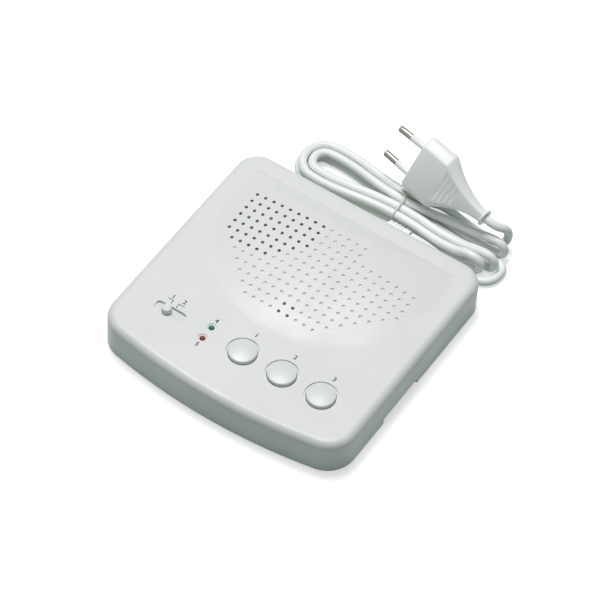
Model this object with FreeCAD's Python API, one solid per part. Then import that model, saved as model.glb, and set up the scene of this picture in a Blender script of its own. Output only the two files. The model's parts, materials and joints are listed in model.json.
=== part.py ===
"""Desk intercom station with a perforated speaker field, three keys, a two-way channel
slide, a volume wheel under the right edge and a mains lead tied in a hank behind it.

Millimetres, +Z up. Origin: on the table under the middle of the station's box.
+X is the station's right, +Y its rear. Every size below can be changed by itself.
"""
import FreeCAD, Part
import math
import os
from FreeCAD import Vector as V

OUT = "parts"
UP = V(0, 0, 1)

# Casing
body_w = 154.5
body_d = 153.0
body_top = 23.2
foot_proud = 1.0
wall = 2.2
floor = 2.2
bow_r = 336.0
front_corner_r = 17.0
rear_corner_r = 13.5
top_edge_r = 4.5
lid_gap = 0.3
lip_wall = 1.6
lip_h = 3.0

# Crowned speaker field
dome_r = 410.0
dome_foot_r = 67.0
dome_rise = 5.3
dome_blend_r = 26.0
dome_y = 43.2
hollow_chamfer = 1.8
hollow_rings = (0.0, 0.3, 0.62, 0.88)
hollow_sides = 40
facet_y = 64.8
facet_slope = 29.0

# Lattice of sound holes
hole_pitch = 5.4
hole_x0 = -54.0
hole_y0 = 48.35
hole_d = 1.9
dimple_d = 1.9
dimple_deep = 0.7
hole_sides = 6
dimple_sides = 4
dimple_lift = 0.5
lattice_rows = (
    (0, 13), (0, 13), (0, 20), (0, 20), (0, 20), (0, 20),
    (1, 19), (2, 18), (3, 17), (4, 16), (5, 15), (6, 14),
)
open_cols = {0: 8, 1: 8, 2: 8, 3: 8, 4: 7, 5: 6}
open_last_row = 6
open_last_cols = (1, 5)
mic_cols = (10, 11)
mic_rows = (10, 11)

# Screws that close the casing
post_side_inset = 11.25
post_rear_y = 62.0
post_front_side_inset = 14.25
post_front_inset = 21.5
post_r = 3.6
screw_r = 1.4
screw_head_r = 2.7
screw_head_h = 1.8
screw_bite = 8.0
screw_sunk = 1.4
screw_slack = 0.02
screw_head_slack = 0.6
pilot_more = 0.6

# Feet
foot_r = 6.0
foot_side_inset = 27.25
foot_rear_inset = 16.5
foot_front_inset = 18.5
foot_seat = 0.9
foot_slack = 0.1
foot_edge = 0.4

# Circuit board
board_z = 8.0
board_t = 1.6
board_side_inset = 5.25
board_front_inset = 18.5
board_rear_y = 8.0
board_arm_x0 = -3.0
board_arm_x1 = 22.0
board_arm_inset = 26.5
board_wall_gap = 2.0
board_post_gap = 1.0
board_post_left_inset = 10.0
board_post_right_inset = 18.0
board_post_right_y = 4.5
board_post_front_x = 36.0
board_post_front_insets = (8.0, 6.0)
board_post_arm_x = 18.0
board_post_arm_inset = 10.0
board_post_r = 3.0
board_screw_r = 1.3
board_screw_head_r = 2.6
board_screw_head_h = 1.5
board_screw_bite = 4.0

# Keys
key_xs = (-1.0, 23.9, 48.6)
key_names = ("lock", "call", "talk")
key_inset = 33.2
key_r = 7.95
key_gap = 0.35
key_bevel = 0.9
key_stand = 1.3
key_crown = 0.7
key_edge = 0.5
key_sides = 32
key_flange = 1.7
key_flange_t = 1.2
key_stem_r = 3.0
key_dish = (0.45, 0.8)
key_travel = 1.0
switch_side = 8.0
switch_h = 6.0
plunger_r = 1.75
plunger_up = 1.8
plunger_floor = 0.3
plunger_spare = 0.1
run_gap = 0.05

# Channel slide
slide_x = -49.1
slide_inset = 33.3
slide_travel = 3.7
slide_knob_r = 2.8
slide_knob_h = 3.6
slide_knob_lift = 0.3
slide_knob_edge = 0.6
slide_knob_soft = 0.2
slide_stem = 1.8
slide_stem_above = 3.0
slide_slot_above = 2.5
scoop_x0 = -57.0
scoop_x1 = -40.2
scoop_rear_inset = 37.9
scoop_front_inset = 31.3
scoop_deep = 1.7
scoop_tall = 4.0
slide_box = (11.0, 5.6, 6.5)

# Volume wheel
wheel_y = -8.75
wheel_r = 12.0
wheel_t = 2.7
wheel_z = 1.5
wheel_inset = 0.9
wheel_gap = 0.6
wheel_teeth = 36
wheel_tooth = 0.5
wheel_shaft_r = 2.0
wheel_shaft_h = 3.2
wheel_mark_w = 1.0
wheel_mark_deep = 0.6
notch_len = 32.5
notch_h = 3.5
pot_side = 12.0
pot_h = 3.4

# Lamps
lamp_x = -23.45
lamp_green_inset = 36.8
lamp_red_inset = 28.4
lamp_r = 1.5
lamp_collar_r = 1.95
lamp_collar_h = 1.0
lamp_stand = 1.0
lamp_gap = 0.15
lamp_ring_r = 2.7
lamp_ring_deep = 0.4
lamp_len = 6.0
lamp_rings = 4
lamp_sides = 16
lamp_leg_slot = (0.7, 3.0)

# Loudspeaker
speaker_x = -34.6
speaker_y = 39.7
speaker_r = 28.5
speaker_top = 20.6
speaker_flange_t = 1.0
speaker_deep = 8.0
speaker_back_r = 17.0
speaker_sheet = 0.8
speaker_step = 1.2
speaker_neck_room = 2.0
speaker_windows = 4
speaker_window_w = 6.0
speaker_window_h = 4.0
speaker_screw_bite = 2.2
magnet_r = 15.0
magnet_t = 6.5
speaker_rim = 4.0
cone_neck_r = 7.0
cone_t = 0.5
cone_room = 0.4
cone_sunk = 0.6
cone_lift = 1.0
cone_roll = 3.0
cone_roll_top = 1.4
cone_cap = 1.6
cone_neck_t = 0.2
speaker_post_r = 2.8
speaker_head_r = 4.6
speaker_head_h = 1.0
seat_wall = 2.0

# Flats of the parts inside, which nobody sees from outside
post_sides = 12
screw_sides = 8
head_sides = 12
seat_sides = 24
round_sides = 24

# Microphone
mic_r = 4.85
mic_h = 6.0
mic_boot_t = 1.3
mic_boot_gap = 0.1
mic_tube_t = 1.2
mic_tube_low = 14.5
mic_tube_room = 1.3
mic_face_gap = 0.3
mic_top = 21.6

# Mains transformer and the parts beside it
core_box = (32.0, 15.0, 14.0)
core_pos = (45.0, 30.0)
bobbin_box = (19.0, 27.0, 11.0)
core_foot_t = 1.0
core_foot_w = 8.0
core_leg_w = 6.0
core_ear = 4.0
core_hole_r = 0.9
core_screw = (0.88, 1.7, 1.1, 1.2)
cheek_t = 4.0
cheek_out = 3.0
cheek_inset = 0.5
cheek_low = 0.3
vent_count = 6
vent_w = 2.0
vent_len = 26.0
vent_pitch = 6.0
x_cap_box = (17.5, 8.0, 10.0)
x_cap_pos = (40.0, -20.0)
smooth_cap_r = 5.0
smooth_cap_len = 16.0
smooth_cap_pos = (-8.0, -22.0)
coil_box = (10.0, 10.0, 10.5)
coil_pos = (8.0, 22.0)
chip_box = (7.6, 19.0, 3.4)
chip_pos = (-30.0, -22.0)
fuse_r = 2.6
fuse_len = 20.0
fuse_pos = (40.0, 0.0)
fuse_clip_w = 5.0
fuse_clip_t = 0.6
fuse_lift = 1.2
terminal_box = (12.0, 8.0, 9.0)
terminal_x = 10.0
terminal_inset = 30.5
terminal_hole_gap = 0.6
terminal_hole_deep = 3.0

# Mains lead
cord_d = 5.0
cord_sides = 6
exit_x = 10.0
exit_z = 8.6
boot_neck_r = 3.6
boot_flange_r = 4.9
boot_flange_t = 2.0
boot_root_r = 4.1
boot_tip_r = 2.95
boot_bend_r = 6.0
boot_straight = 1.2
boot_run = 8.0
boot_steps = 4
boot_sides = 12
sheath_len = 16.0
wire_r = 0.9
wire_gap = 1.15
wire_spread = 2.5
wire_rise = 4.2
wire_straight = 0.3
wire_seat = 2.4
clamp_inset = 12.5
clamp_w = 24.0
clamp_d = 6.0
clamp_t = 2.4
clamp_screw_x = 8.6
clamp_hump = 4.0
clamp_saddle = 3.0
clamp_screw_head_r = 2.4
clamp_screw_head_h = 1.4
tab_gap = 0.2
tab_under = 0.3
notch_gap = 0.1
lead_straight = 10.0
lead_landing = 11.0

# Hank
turn_pitch = 5.5
layer_low = 2.5
layer_high = 8.0
waist_x = 8.6
waist_y = 92.5
left_y = 100.75
left_x_low = -43.0
left_x_high = -41.0
left_r = (12.8, 7.2)
right_y = 89.4
right_x = 55.0
right_turn_x = (60.3, 66.2, 65.4)
right_turn_r = 5.0
rise_x = 45.0
rise_z = 8.5
rise_aside = 0.6
rise_slope = 0.06
entry_x = 61.0
entry_turn_r = 9.5
entry_edge_x = 75.5
entry_back_r = 5.3
tail_aside = 0.8
tail_crossing = (28.0, 1.2, 0.7)
tail_crossing_fall = 0.12
tail_landing = (47.0, 0.4, 0.3)
tail_landing_fall = 0.06
tail_low_x = 58.0
tail_side = (67.5, 113.6, 12.0)
tie_r = 0.55
tie_gap = 0.15
tie_end = 7.0
tie_end_up = 0.2
tie_end_aside = (1.0, 1.6)

# Plug
plug_at = (6.2, 116.0, 29.3)
plug_heading = -8.6
plug_dip = 8.1
plug_roll = 61.0
plug_w = 35.3
plug_t = 13.7
plug_flat_w = 26.1
plug_block = 18.0
plug_len = 50.0
plug_neck_r = 3.4
plug_flange_r = 5.0
plug_flange_t = 1.4
plug_face = (0.97, 0.94, 1.2)
plug_tail_steps = 6
plug_tail_powers = (1.9, 1.2)
pin_r = 2.0
pin_len = 19.0
pin_base = 18.6
pin_tip = 17.5
sleeve_len = 10.0
sleeve_wall = 0.35
pin_sides = 16
pin_nose = 0.7
grip_ribs = 4
grip_deep = 0.5
grip_start = 2.0
grip_pitch = 3.0
grip_w = 1.3
grip_len = (0.72, 0.11)
grip_skin = (0.052, 0.2)

# Heights and places that follow
rim_z = foot_proud
floor_top = rim_z + floor
ceiling = body_top - wall
board_top = board_z + board_t
side_x = body_w / 2
rear_y = body_d / 2
post_x = side_x - post_side_inset
post_front_x = side_x - post_front_side_inset
post_front_y = post_front_inset - rear_y
foot_x = side_x - foot_side_inset
foot_rear_y = rear_y - foot_rear_inset
foot_front_y = foot_front_inset - rear_y
board_x = side_x - board_side_inset
board_front_y = board_front_inset - rear_y
board_arm_y = rear_y - board_arm_inset
board_post_places = (
    (board_post_left_inset - board_x, 0.0), (board_x - board_post_right_inset, board_post_right_y),
    (-board_post_front_x, board_front_y + board_post_front_insets[0]),
    (board_post_front_x, board_front_y + board_post_front_insets[1]),
    (board_post_arm_x, board_arm_y - board_post_arm_inset),
)
key_y = key_inset - rear_y
slide_y = slide_inset - rear_y
scoop_rear_y = scoop_rear_inset - rear_y
scoop_front_y = scoop_front_inset - rear_y
lamp_green_y = lamp_green_inset - rear_y
lamp_red_y = lamp_red_inset - rear_y
cone_r = speaker_r - speaker_rim
clamp_y = rear_y - clamp_inset
terminal_y = rear_y - terminal_inset
wheel_x = side_x - wheel_inset - wheel_r
cord_r = cord_d / 2
boot_y = rear_y + boot_straight + boot_bend_r
boot_end_x = exit_x + boot_bend_r + boot_run


def cylinder(r, h, x, y, z, axis=UP):
    return Part.makeCylinder(r, h, V(x, y, z), axis)


def box(size, x, y, z):
    """A box that stands on z with its middle over x, y."""
    return Part.makeBox(size[0], size[1], size[2], V(x - size[0] / 2, y - size[1] / 2, z))


def solid_of_profile(points, height, axis=UP):
    wire = Part.makePolygon([V(*p) for p in points] + [V(*points[0])])
    return Part.Face(wire).extrude(V(axis) * height)


def joined(shapes):
    return shapes[0].multiFuse(shapes[1:]).removeSplitter()


def outline(inset, z):
    """The station's plan, drawn in by inset: a bowed front, straight sides and rear."""
    half = body_w / 2 - inset
    rear = body_d / 2 - inset
    bow = bow_r - inset
    bow_y = -body_d / 2 + bow_r
    rf = front_corner_r - inset
    rr = rear_corner_r - inset
    cx = half - rf
    cy = bow_y - math.sqrt((bow - rf) ** 2 - cx ** 2)
    share = bow / (bow - rf)
    tx = cx * share
    ty = bow_y + (cy - bow_y) * share
    out = V(tx - cx, ty - cy, 0).normalize()
    mid = (out + V(1, 0, 0)).normalize() * rf
    slant = math.sqrt(0.5) * rr

    def at(x, y):
        return V(x, y, z)

    edges = [
        Part.Arc(at(-tx, ty), at(0, bow_y - bow), at(tx, ty)).toShape(),
        Part.Arc(at(tx, ty), at(cx + mid.x, cy + mid.y), at(half, cy)).toShape(),
        Part.LineSegment(at(half, cy), at(half, rear - rr)).toShape(),
        Part.Arc(
            at(half, rear - rr), at(half - rr + slant, rear - rr + slant), at(half - rr, rear)
        ).toShape(),
        Part.LineSegment(at(half - rr, rear), at(-half + rr, rear)).toShape(),
        Part.Arc(
            at(-half + rr, rear), at(-half + rr - slant, rear - rr + slant), at(-half, rear - rr)
        ).toShape(),
        Part.LineSegment(at(-half, rear - rr), at(-half, cy)).toShape(),
        Part.Arc(at(-half, cy), at(-cx - mid.x, cy + mid.y), at(-tx, ty)).toShape(),
    ]
    return Part.Wire(edges)


def slab(inset, z0, z1):
    return Part.Face(outline(inset, z0)).extrude(V(0, 0, z1 - z0))


def rounded_slab(inset, z0, z1, radius):
    solid = slab(inset, z0, z1)
    rim = [e for e in solid.Edges if abs(e.BoundBox.ZMin - z1) < 1e-4 and abs(e.BoundBox.ZMax - z1) < 1e-4]
    return solid.makeFillet(radius, rim)


def crown_cap():
    """The speaker field's cap with its soft foot, before the rear facet is cut."""
    centre = body_top + dome_rise - dome_r
    reach = math.sqrt((dome_r + dome_blend_r) ** 2 - (body_top + dome_blend_r - centre) ** 2)
    share = dome_r / (dome_r + dome_blend_r)
    meet = V(reach * share, 0, centre + (body_top + dome_blend_r - centre) * share)
    foot_angle = math.atan2(reach - meet.x, body_top + dome_blend_r - meet.z) / 2
    foot_mid = V(
        reach - dome_blend_r * math.sin(foot_angle),
        0,
        body_top + dome_blend_r * (1 - math.cos(foot_angle)),
    )
    low = body_top - wall / 2
    foot = V(reach, 0, body_top)
    wire = Part.Wire([
        Part.LineSegment(V(meet.x, 0, low), meet).toShape(),
        Part.Arc(meet, foot_mid, foot).toShape(),
        Part.LineSegment(foot, V(reach, 0, low)).toShape(),
        Part.LineSegment(V(reach, 0, low), V(meet.x, 0, low)).toShape(),
    ])
    soft_foot = Part.Face(wire).revolve(V(0, 0, 0), UP, 360)
    soft_foot.translate(V(0, dome_y, 0))
    drum = cylinder(meet.x, 2 * dome_rise, 0, dome_y, low)
    ball = Part.makeSphere(dome_r, V(0, dome_y, centre), V(1, 0, 0))
    return joined([drum.common(ball), soft_foot])


def crown_hollow():
    """The room under the cap: a stack of facets one wall below the outer skin."""
    rings = []
    for share in hollow_rings:
        r = dome_foot_r * share
        skin = max(skin_height(r, dome_y), body_top)
        rings.append((r, skin - wall))
    points = [(0, ceiling - wall)] + [(rings[-1][0], ceiling - wall)] + rings[::-1]
    return facet_turned(points, hollow_sides, 0, dome_y)


def behind_facet(inset):
    """What the sloping rear facet cuts from the crown, drawn in by inset."""
    slope = math.radians(facet_slope)
    low = body_top - inset
    y = facet_y - inset * math.tan(slope / 2)
    tall = 3 * dome_rise
    run = tall / math.tan(slope)
    width = 2 * body_w
    return solid_of_profile(
        [
            (-width / 2, y, low - tall), (-width / 2, y, low), (-width / 2, y - run, low + tall),
            (-width / 2, y + body_d, low + tall), (-width / 2, y + body_d, low - tall),
        ],
        width, V(1, 0, 0),
    )


def lattice():
    """Every place of the pattern with its kind: open, microphone or blind."""
    places = []
    for row, (first, last) in enumerate(lattice_rows):
        for col in range(first, last + 1):
            x = hole_x0 + col * hole_pitch
            y = hole_y0 - row * hole_pitch
            if row in mic_rows and col in mic_cols:
                kind = "open"
            elif row in open_cols and col <= open_cols[row]:
                kind = "open"
            elif row == open_last_row and open_last_cols[0] <= col <= open_last_cols[1]:
                kind = "open"
            else:
                kind = "blind"
            places.append((x, y, kind))
    return places


def skin_height(x, y):
    """Height of the outer skin of the crowned field over x, y."""
    r = math.hypot(x, y - dome_y)
    cap = body_top + dome_rise - dome_r + math.sqrt(dome_r ** 2 - r ** 2)
    return max(body_top, cap)


def facet_turned(points, sides, x, y):
    """A closed outline of (radius, height) points turned about x, y in flat facets."""
    turn = 2 * math.pi / sides
    faces = []
    for (r0, z0), (r1, z1) in zip(points, points[1:] + points[:1]):
        for i in range(sides):
            a, b = turn * i, turn * (i + 1)
            ring = []
            for r, z, angle in ((r0, z0, a), (r0, z0, b), (r1, z1, b), (r1, z1, a)):
                corner = V(x + r * math.cos(angle), y + r * math.sin(angle), z)
                if not ring or corner.distanceToPoint(ring[-1]) > 1e-6:
                    ring.append(corner)
            if ring[0].distanceToPoint(ring[-1]) < 1e-6:
                ring.pop()
            if len(ring) > 2:
                faces.append(Part.Face(Part.makePolygon(ring + [ring[0]])))
    solid = Part.Solid(Part.Shell(faces))
    if solid.Volume < 0:
        solid.reverse()
    return solid.removeSplitter()


def faceted(r, sides, x, y, z):
    """Corners of a regular polygon about x, y with a flat towards +X."""
    angles = [2 * math.pi / sides * (i + 0.5) for i in range(sides)]
    return [V(x + r * math.cos(a), y + r * math.sin(a), z) for a in angles]


def sound_hole(x, y):
    """A through hole, drawn with a few flats so that the field stays light."""
    low = ceiling - wall
    ring = faceted(hole_d / 2, hole_sides, x, y, low)
    height = skin_height(x, y) + wall - low
    return Part.Face(Part.makePolygon(ring + [ring[0]])).extrude(V(0, 0, height))


def dimple(x, y):
    """A blind pit with tapered flanks under the skin."""
    skin = skin_height(x, y)
    r = dimple_d / 2 * (1 + dimple_lift / dimple_deep)
    wide = faceted(r, dimple_sides, x, y, skin + dimple_lift)
    tip = V(x, y, skin - dimple_deep)
    faces = [Part.Face(Part.makePolygon(wide + [wide[0]]))]
    for i in range(dimple_sides):
        faces.append(Part.Face(Part.makePolygon([wide[i], wide[(i + 1) % dimple_sides], tip, wide[i]])))
    solid = Part.Solid(Part.Shell(faces))
    if solid.Volume < 0:
        solid.reverse()
    return solid


def post_places():
    return [
        (-post_x, post_rear_y), (post_x, post_rear_y),
        (-post_front_x, post_front_y), (post_front_x, post_front_y),
    ]


def speaker_posts():
    ring = speaker_r + speaker_post_r + lid_gap
    return [
        (speaker_x + ring * math.cos(math.radians(a)), speaker_y + ring * math.sin(math.radians(a)))
        for a in (30, 150, 270)
    ]


def mic_place():
    x = hole_x0 + (mic_cols[0] + mic_cols[1]) / 2 * hole_pitch
    y = hole_y0 - (mic_rows[0] + mic_rows[1]) / 2 * hole_pitch
    return x, y


def scoop():
    """The finger scoop behind the slide: deep at its rear edge, fading out in front."""
    depth = scoop_rear_y - scoop_front_y
    r = depth / 2
    low, high = body_top - scoop_tall, body_top + scoop_tall
    wedge = solid_of_profile(
        [
            (scoop_x0, scoop_front_y, body_top), (scoop_x0, scoop_rear_y, body_top - scoop_deep),
            (scoop_x0, scoop_rear_y, high), (scoop_x0, scoop_front_y, high),
        ],
        scoop_x1 - scoop_x0, V(1, 0, 0),
    )
    y = scoop_rear_y - r
    ends = [cylinder(r, high - low, x, y, low) for x in (scoop_x0 + r, scoop_x1 - r)]
    middle = box((scoop_x1 - scoop_x0 - 2 * r, depth, high - low), (scoop_x0 + scoop_x1) / 2, y, low)
    return wedge.common(joined(ends + [middle]))


def cord_notch(gap, z1):
    """The slot in the rear wall that the lead's neck drops into."""
    r = boot_neck_r + gap
    depth = 3 * wall
    slot = Part.makeBox(2 * r, depth, z1 - rim_z + 1, V(exit_x - r, rear_y - depth + wall, rim_z - 1))
    if z1 < exit_z:
        return slot
    return slot.fuse(cylinder(r, depth, exit_x, rear_y - depth + wall, exit_z, V(0, 1, 0)))


def top_cover():
    outer = rounded_slab(0, rim_z, body_top, top_edge_r).fuse(crown_cap().cut(behind_facet(0)))
    room = slab(wall, rim_z - 1, ceiling)
    rim = [e for e in room.Edges if e.BoundBox.ZMin > ceiling - 0.01]
    room = room.makeChamfer(hollow_chamfer, rim)
    shell = outer.cut(room.fuse(crown_hollow().cut(behind_facet(wall))))
    posts = []
    for x, y in post_places():
        low = floor_top + lid_gap
        posts.append(prism(post_r, post_sides, x, y, low, body_top - wall / 2 - low))
    for x, y in speaker_posts():
        low = speaker_top - speaker_flange_t
        posts.append(prism(speaker_post_r, post_sides, x, y, low, skin_height(x, y) - wall / 2 - low))
    rise = body_top + dome_rise - speaker_top
    seat = prism(speaker_r, seat_sides, speaker_x, speaker_y, speaker_top, rise)
    seat = seat.cut(prism(speaker_r - seat_wall, seat_sides, speaker_x, speaker_y, speaker_top - 1, rise + 2))
    mx, my = mic_place()
    tube_r = mic_r + mic_boot_t + mic_boot_gap + mic_tube_t
    tube = prism(tube_r, seat_sides, mx, my, mic_tube_low, skin_height(mx, my) - wall / 2 - mic_tube_low)
    pocket_h = mic_top - mic_tube_low + mic_tube_room
    tube = tube.cut(prism(tube_r - mic_tube_t, seat_sides, mx, my, mic_tube_low - 1, pocket_h))
    shell = joined([shell] + [p.common(outer) for p in posts + [seat, tube]])
    cuts = []
    for x, y in post_places():
        cuts.append(prism(screw_r, screw_sides, x, y, floor_top, screw_bite + lid_gap))
    for x, y in speaker_posts():
        low = speaker_top - speaker_flange_t
        cuts.append(prism(screw_r, screw_sides, x, y, low, ceiling - low + pilot_more))
    for x in key_xs:
        r = key_r + key_gap
        cuts.append(cylinder(r, 2 * wall, x, key_y, body_top - 1.5 * wall))
        cuts.append(Part.makeCone(r, r + 2 * key_bevel, 2 * key_bevel, V(x, key_y, body_top - key_bevel), UP))
    for y in (lamp_green_y, lamp_red_y):
        cuts.append(cylinder(lamp_r + lamp_gap, 2 * wall, lamp_x, y, body_top - 1.5 * wall))
        cuts.append(cylinder(lamp_ring_r, wall, lamp_x, y, body_top - lamp_ring_deep))
    cuts.append(scoop())
    slot = slide_stem + 2 * lid_gap
    slot_x = slide_x + slide_travel / 2
    cuts.append(box((slide_travel + slot, slot, 3 * wall), slot_x, slide_y, body_top - 2 * wall))
    cuts.append(box((4 * wall, notch_len, 2 * notch_h), side_x, wheel_y, rim_z - notch_h))
    cuts.append(cord_notch(notch_gap, exit_z))
    for x, y, kind in lattice():
        cuts.append(sound_hole(x, y) if kind == "open" else dimple(x, y))
    return shell.cut(cuts)


def base_cover():
    edge = wall + lid_gap
    plate = slab(edge, rim_z, floor_top)
    lip_top = floor_top + lip_h
    ring = slab(edge, floor_top, lip_top).cut(slab(edge + lip_wall, floor_top - 1, lip_top + 1))
    parts = [plate, ring]
    for x, y in board_post_places:
        parts.append(prism(board_post_r, post_sides, x, y, floor_top, board_z - floor_top))
    for side in (-1, 1):
        x = exit_x + side * clamp_screw_x
        parts.append(prism(board_post_r, post_sides, x, clamp_y, floor_top, exit_z - floor_top))
    saddle_h = exit_z - cord_r - floor_top
    saddle = box((2 * cord_r + clamp_saddle, clamp_d, saddle_h), exit_x, clamp_y, floor_top)
    tab = Part.makeBox(
        2 * (boot_neck_r - tab_gap), wall + lid_gap, exit_z - boot_neck_r - tab_under - rim_z,
        V(exit_x - boot_neck_r + tab_gap, rear_y - wall - lid_gap, rim_z),
    )
    base = joined(parts + [saddle, tab])
    cuts = []
    for x, y in post_places():
        cuts.append(prism(screw_r + lid_gap, screw_sides, x, y, rim_z - 0.5, floor + 1))
        cuts.append(prism(screw_head_r + lid_gap, head_sides, x, y, rim_z - 0.5, screw_sunk + 0.5))
        cuts.append(prism(post_r + 2 * lid_gap, post_sides, x, y, floor_top, lip_h + 1))
    for x, y in foot_places():
        cuts.append(prism(foot_r, round_sides, x, y, rim_z, foot_seat))
    for x, y in board_post_places:
        cuts.append(prism(board_screw_r, screw_sides, x, y, floor_top, board_z - floor_top))
    for side in (-1, 1):
        x = exit_x + side * clamp_screw_x
        cuts.append(prism(board_screw_r, screw_sides, x, clamp_y, floor_top, exit_z - floor_top))
    room = boot_flange_r + lid_gap
    cuts.append(box((2 * room, 4 * lip_wall, lip_h + 1), exit_x, rear_y - wall - lip_wall, exit_z - room))
    reach = side_x - wheel_x
    cuts.append(cylinder(wheel_r + wheel_gap, floor + lip_h + 2, wheel_x, wheel_y, rim_z - 1))
    cuts.append(
        box((reach, 2 * (wheel_r + wheel_gap), floor + lip_h + 2), wheel_x + reach / 2, wheel_y, rim_z - 1)
    )
    for i in range(vent_count):
        x = core_pos[0] + vent_pitch * (i - (vent_count - 1) / 2)
        cuts.append(box((vent_w, vent_len, floor + 1), x, core_pos[1], rim_z - 0.5))
    return base.cut(cuts)


def foot_places():
    return [
        (-foot_x, foot_rear_y), (foot_x, foot_rear_y),
        (-foot_x, foot_front_y), (foot_x, foot_front_y),
    ]


def rubber_feet():
    feet = []
    for x, y in foot_places():
        r = foot_r - foot_slack
        top = foot_proud + foot_seat
        feet.append(facet_turned(
            [(0, 0), (r - foot_edge, 0), (r, foot_edge), (r, top), (0, top)], round_sides, x, y
        ))
    return Part.makeCompound(feet)


def prism(r, sides, x, y, z, height):
    ring = faceted(r, sides, x, y, z)
    return Part.Face(Part.makePolygon(ring + [ring[0]])).extrude(V(0, 0, height))


def pan_screw(x, y, under_head, way, r, head_r, head_h, bite):
    """A screw driven up (way 1) or down (way -1), with its head against its seat."""
    shank = prism(r, screw_sides, x, y, under_head, way * bite)
    head = prism(head_r, head_sides, x, y, under_head, -way * head_h)
    return head.fuse(shank)


def case_screws():
    seat = rim_z + screw_sunk
    head_h = screw_head_h - screw_head_slack
    bite = floor_top - seat + screw_bite
    return Part.makeCompound([
        pan_screw(x, y, seat, 1, screw_r - screw_slack, screw_head_r, head_h, bite)
        for x, y in post_places()
    ])


def circuit_board():
    front = box(
        (2 * board_x, board_rear_y - board_front_y, board_t), 0, (board_rear_y + board_front_y) / 2, board_z
    )
    arm_w = board_arm_x1 - board_arm_x0
    arm_len = board_arm_y - board_rear_y
    arm = Part.makeBox(arm_w, arm_len, board_t, V(board_arm_x0, board_rear_y, board_z))
    board = joined([front.common(slab(wall + board_wall_gap, board_z - 1, board_top + 1)), arm])
    low = board_z - board_t / 2
    cuts = [prism(board_screw_r, screw_sides, x, y, low, 2 * board_t) for x, y in board_post_places]
    cuts += [prism(post_r + board_post_gap, post_sides, x, y, low, 2 * board_t) for x, y in post_places()]
    return board.cut(cuts)


def board_screws():
    r = board_screw_r - screw_slack
    bite = board_t + board_screw_bite
    return Part.makeCompound([
        pan_screw(x, y, board_top, -1, r, board_screw_head_r, board_screw_head_h, bite)
        for x, y in board_post_places
    ])


def switch_top():
    return board_top + switch_h


def key_cap(x):
    """A key: slightly crowned cap, flange that stops it under the cover, and stem."""
    top = body_top + key_stand
    flange_top = ceiling - lid_gap
    flange_low = flange_top - key_flange_t
    stem_low = switch_top() + plunger_up
    far, high = key_dish
    return facet_turned(
        [
            (0, top + key_crown), (far * key_r, top + high * key_crown), (key_r - key_edge, top),
            (key_r, top - key_edge), (key_r, flange_top), (key_r + key_flange, flange_top),
            (key_r + key_flange, flange_low), (key_stem_r, flange_low), (key_stem_r, stem_low),
            (0, stem_low),
        ],
        key_sides, x, key_y,
    )


def key_plunger(x):
    low = board_top + plunger_floor + key_travel + plunger_spare
    return cylinder(plunger_r, switch_top() + plunger_up - low, x, key_y, low)


def push_switches():
    housings = []
    for x in key_xs:
        housing = box((switch_side, switch_side, switch_h), x, key_y, board_top)
        bore = cylinder(plunger_r + run_gap, switch_h, x, key_y, board_top + plunger_floor)
        housings.append(housing.cut(bore))
    return Part.makeCompound(housings)


def channel_knob():
    low = body_top + slide_knob_lift
    top = low + slide_knob_h
    r = slide_knob_r
    edge, soft = slide_knob_edge, slide_knob_soft
    knob = facet_turned(
        [(0, low), (r, low), (r, top - edge), (r - soft, top - soft), (r - edge, top), (0, top)],
        round_sides, slide_x, slide_y,
    )
    stem_low = board_top + slide_stem_above
    stem = box((slide_stem, slide_stem, low - stem_low), slide_x, slide_y, stem_low)
    return joined([knob, stem])


def channel_switch():
    x = slide_x + slide_travel / 2
    housing = box(slide_box, x, slide_y, board_top)
    slot = slide_stem + 2 * lid_gap
    opening = (slide_travel + slot, slot, slide_box[2])
    return housing.cut(box(opening, x, slide_y, board_top + slide_slot_above))


def volume_wheel():
    points = []
    step = math.pi / wheel_teeth
    for i in range(2 * wheel_teeth):
        r = wheel_r - (wheel_tooth if i % 2 else 0)
        points.append((wheel_x + r * math.cos(i * step), wheel_y + r * math.sin(i * step), wheel_z))
    disc = solid_of_profile(points, wheel_t)
    shaft = cylinder(wheel_shaft_r, wheel_t / 2 + wheel_shaft_h, wheel_x, wheel_y, wheel_z + wheel_t / 2)
    mark = box((wheel_mark_w, wheel_r / 2, wheel_mark_deep), wheel_x, wheel_y + wheel_r / 2, wheel_z)
    return joined([disc, shaft]).cut(mark)


def volume_pot():
    low = board_z - pot_h
    housing = box((pot_side, pot_side, pot_h), wheel_x, wheel_y, low)
    depth = wheel_z + wheel_t + wheel_shaft_h - low + 2 * run_gap
    return housing.cut(cylinder(wheel_shaft_r + run_gap, depth, wheel_x, wheel_y, low))


def lamp(y):
    top = body_top + lamp_stand
    low = top - lamp_len
    shoulder = low + lamp_collar_h
    points = [(0, low), (lamp_collar_r, low), (lamp_collar_r, shoulder), (lamp_r, shoulder)]
    for i in range(lamp_rings):
        angle = math.pi / 2 * i / lamp_rings
        points.append((lamp_r * math.cos(angle), top - lamp_r + lamp_r * math.sin(angle)))
    points.append((0, top))
    return facet_turned(points, lamp_sides, lamp_x, y)


def lamp_spacers():
    low = body_top + lamp_stand - lamp_len
    spacers = []
    for y in (lamp_green_y, lamp_red_y):
        spacer = prism(lamp_collar_r, post_sides, lamp_x, y, board_top, low - board_top)
        spacers.append(spacer.cut(box((*lamp_leg_slot, low), lamp_x, y, board_top)))
    return Part.makeCompound(spacers)


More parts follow.
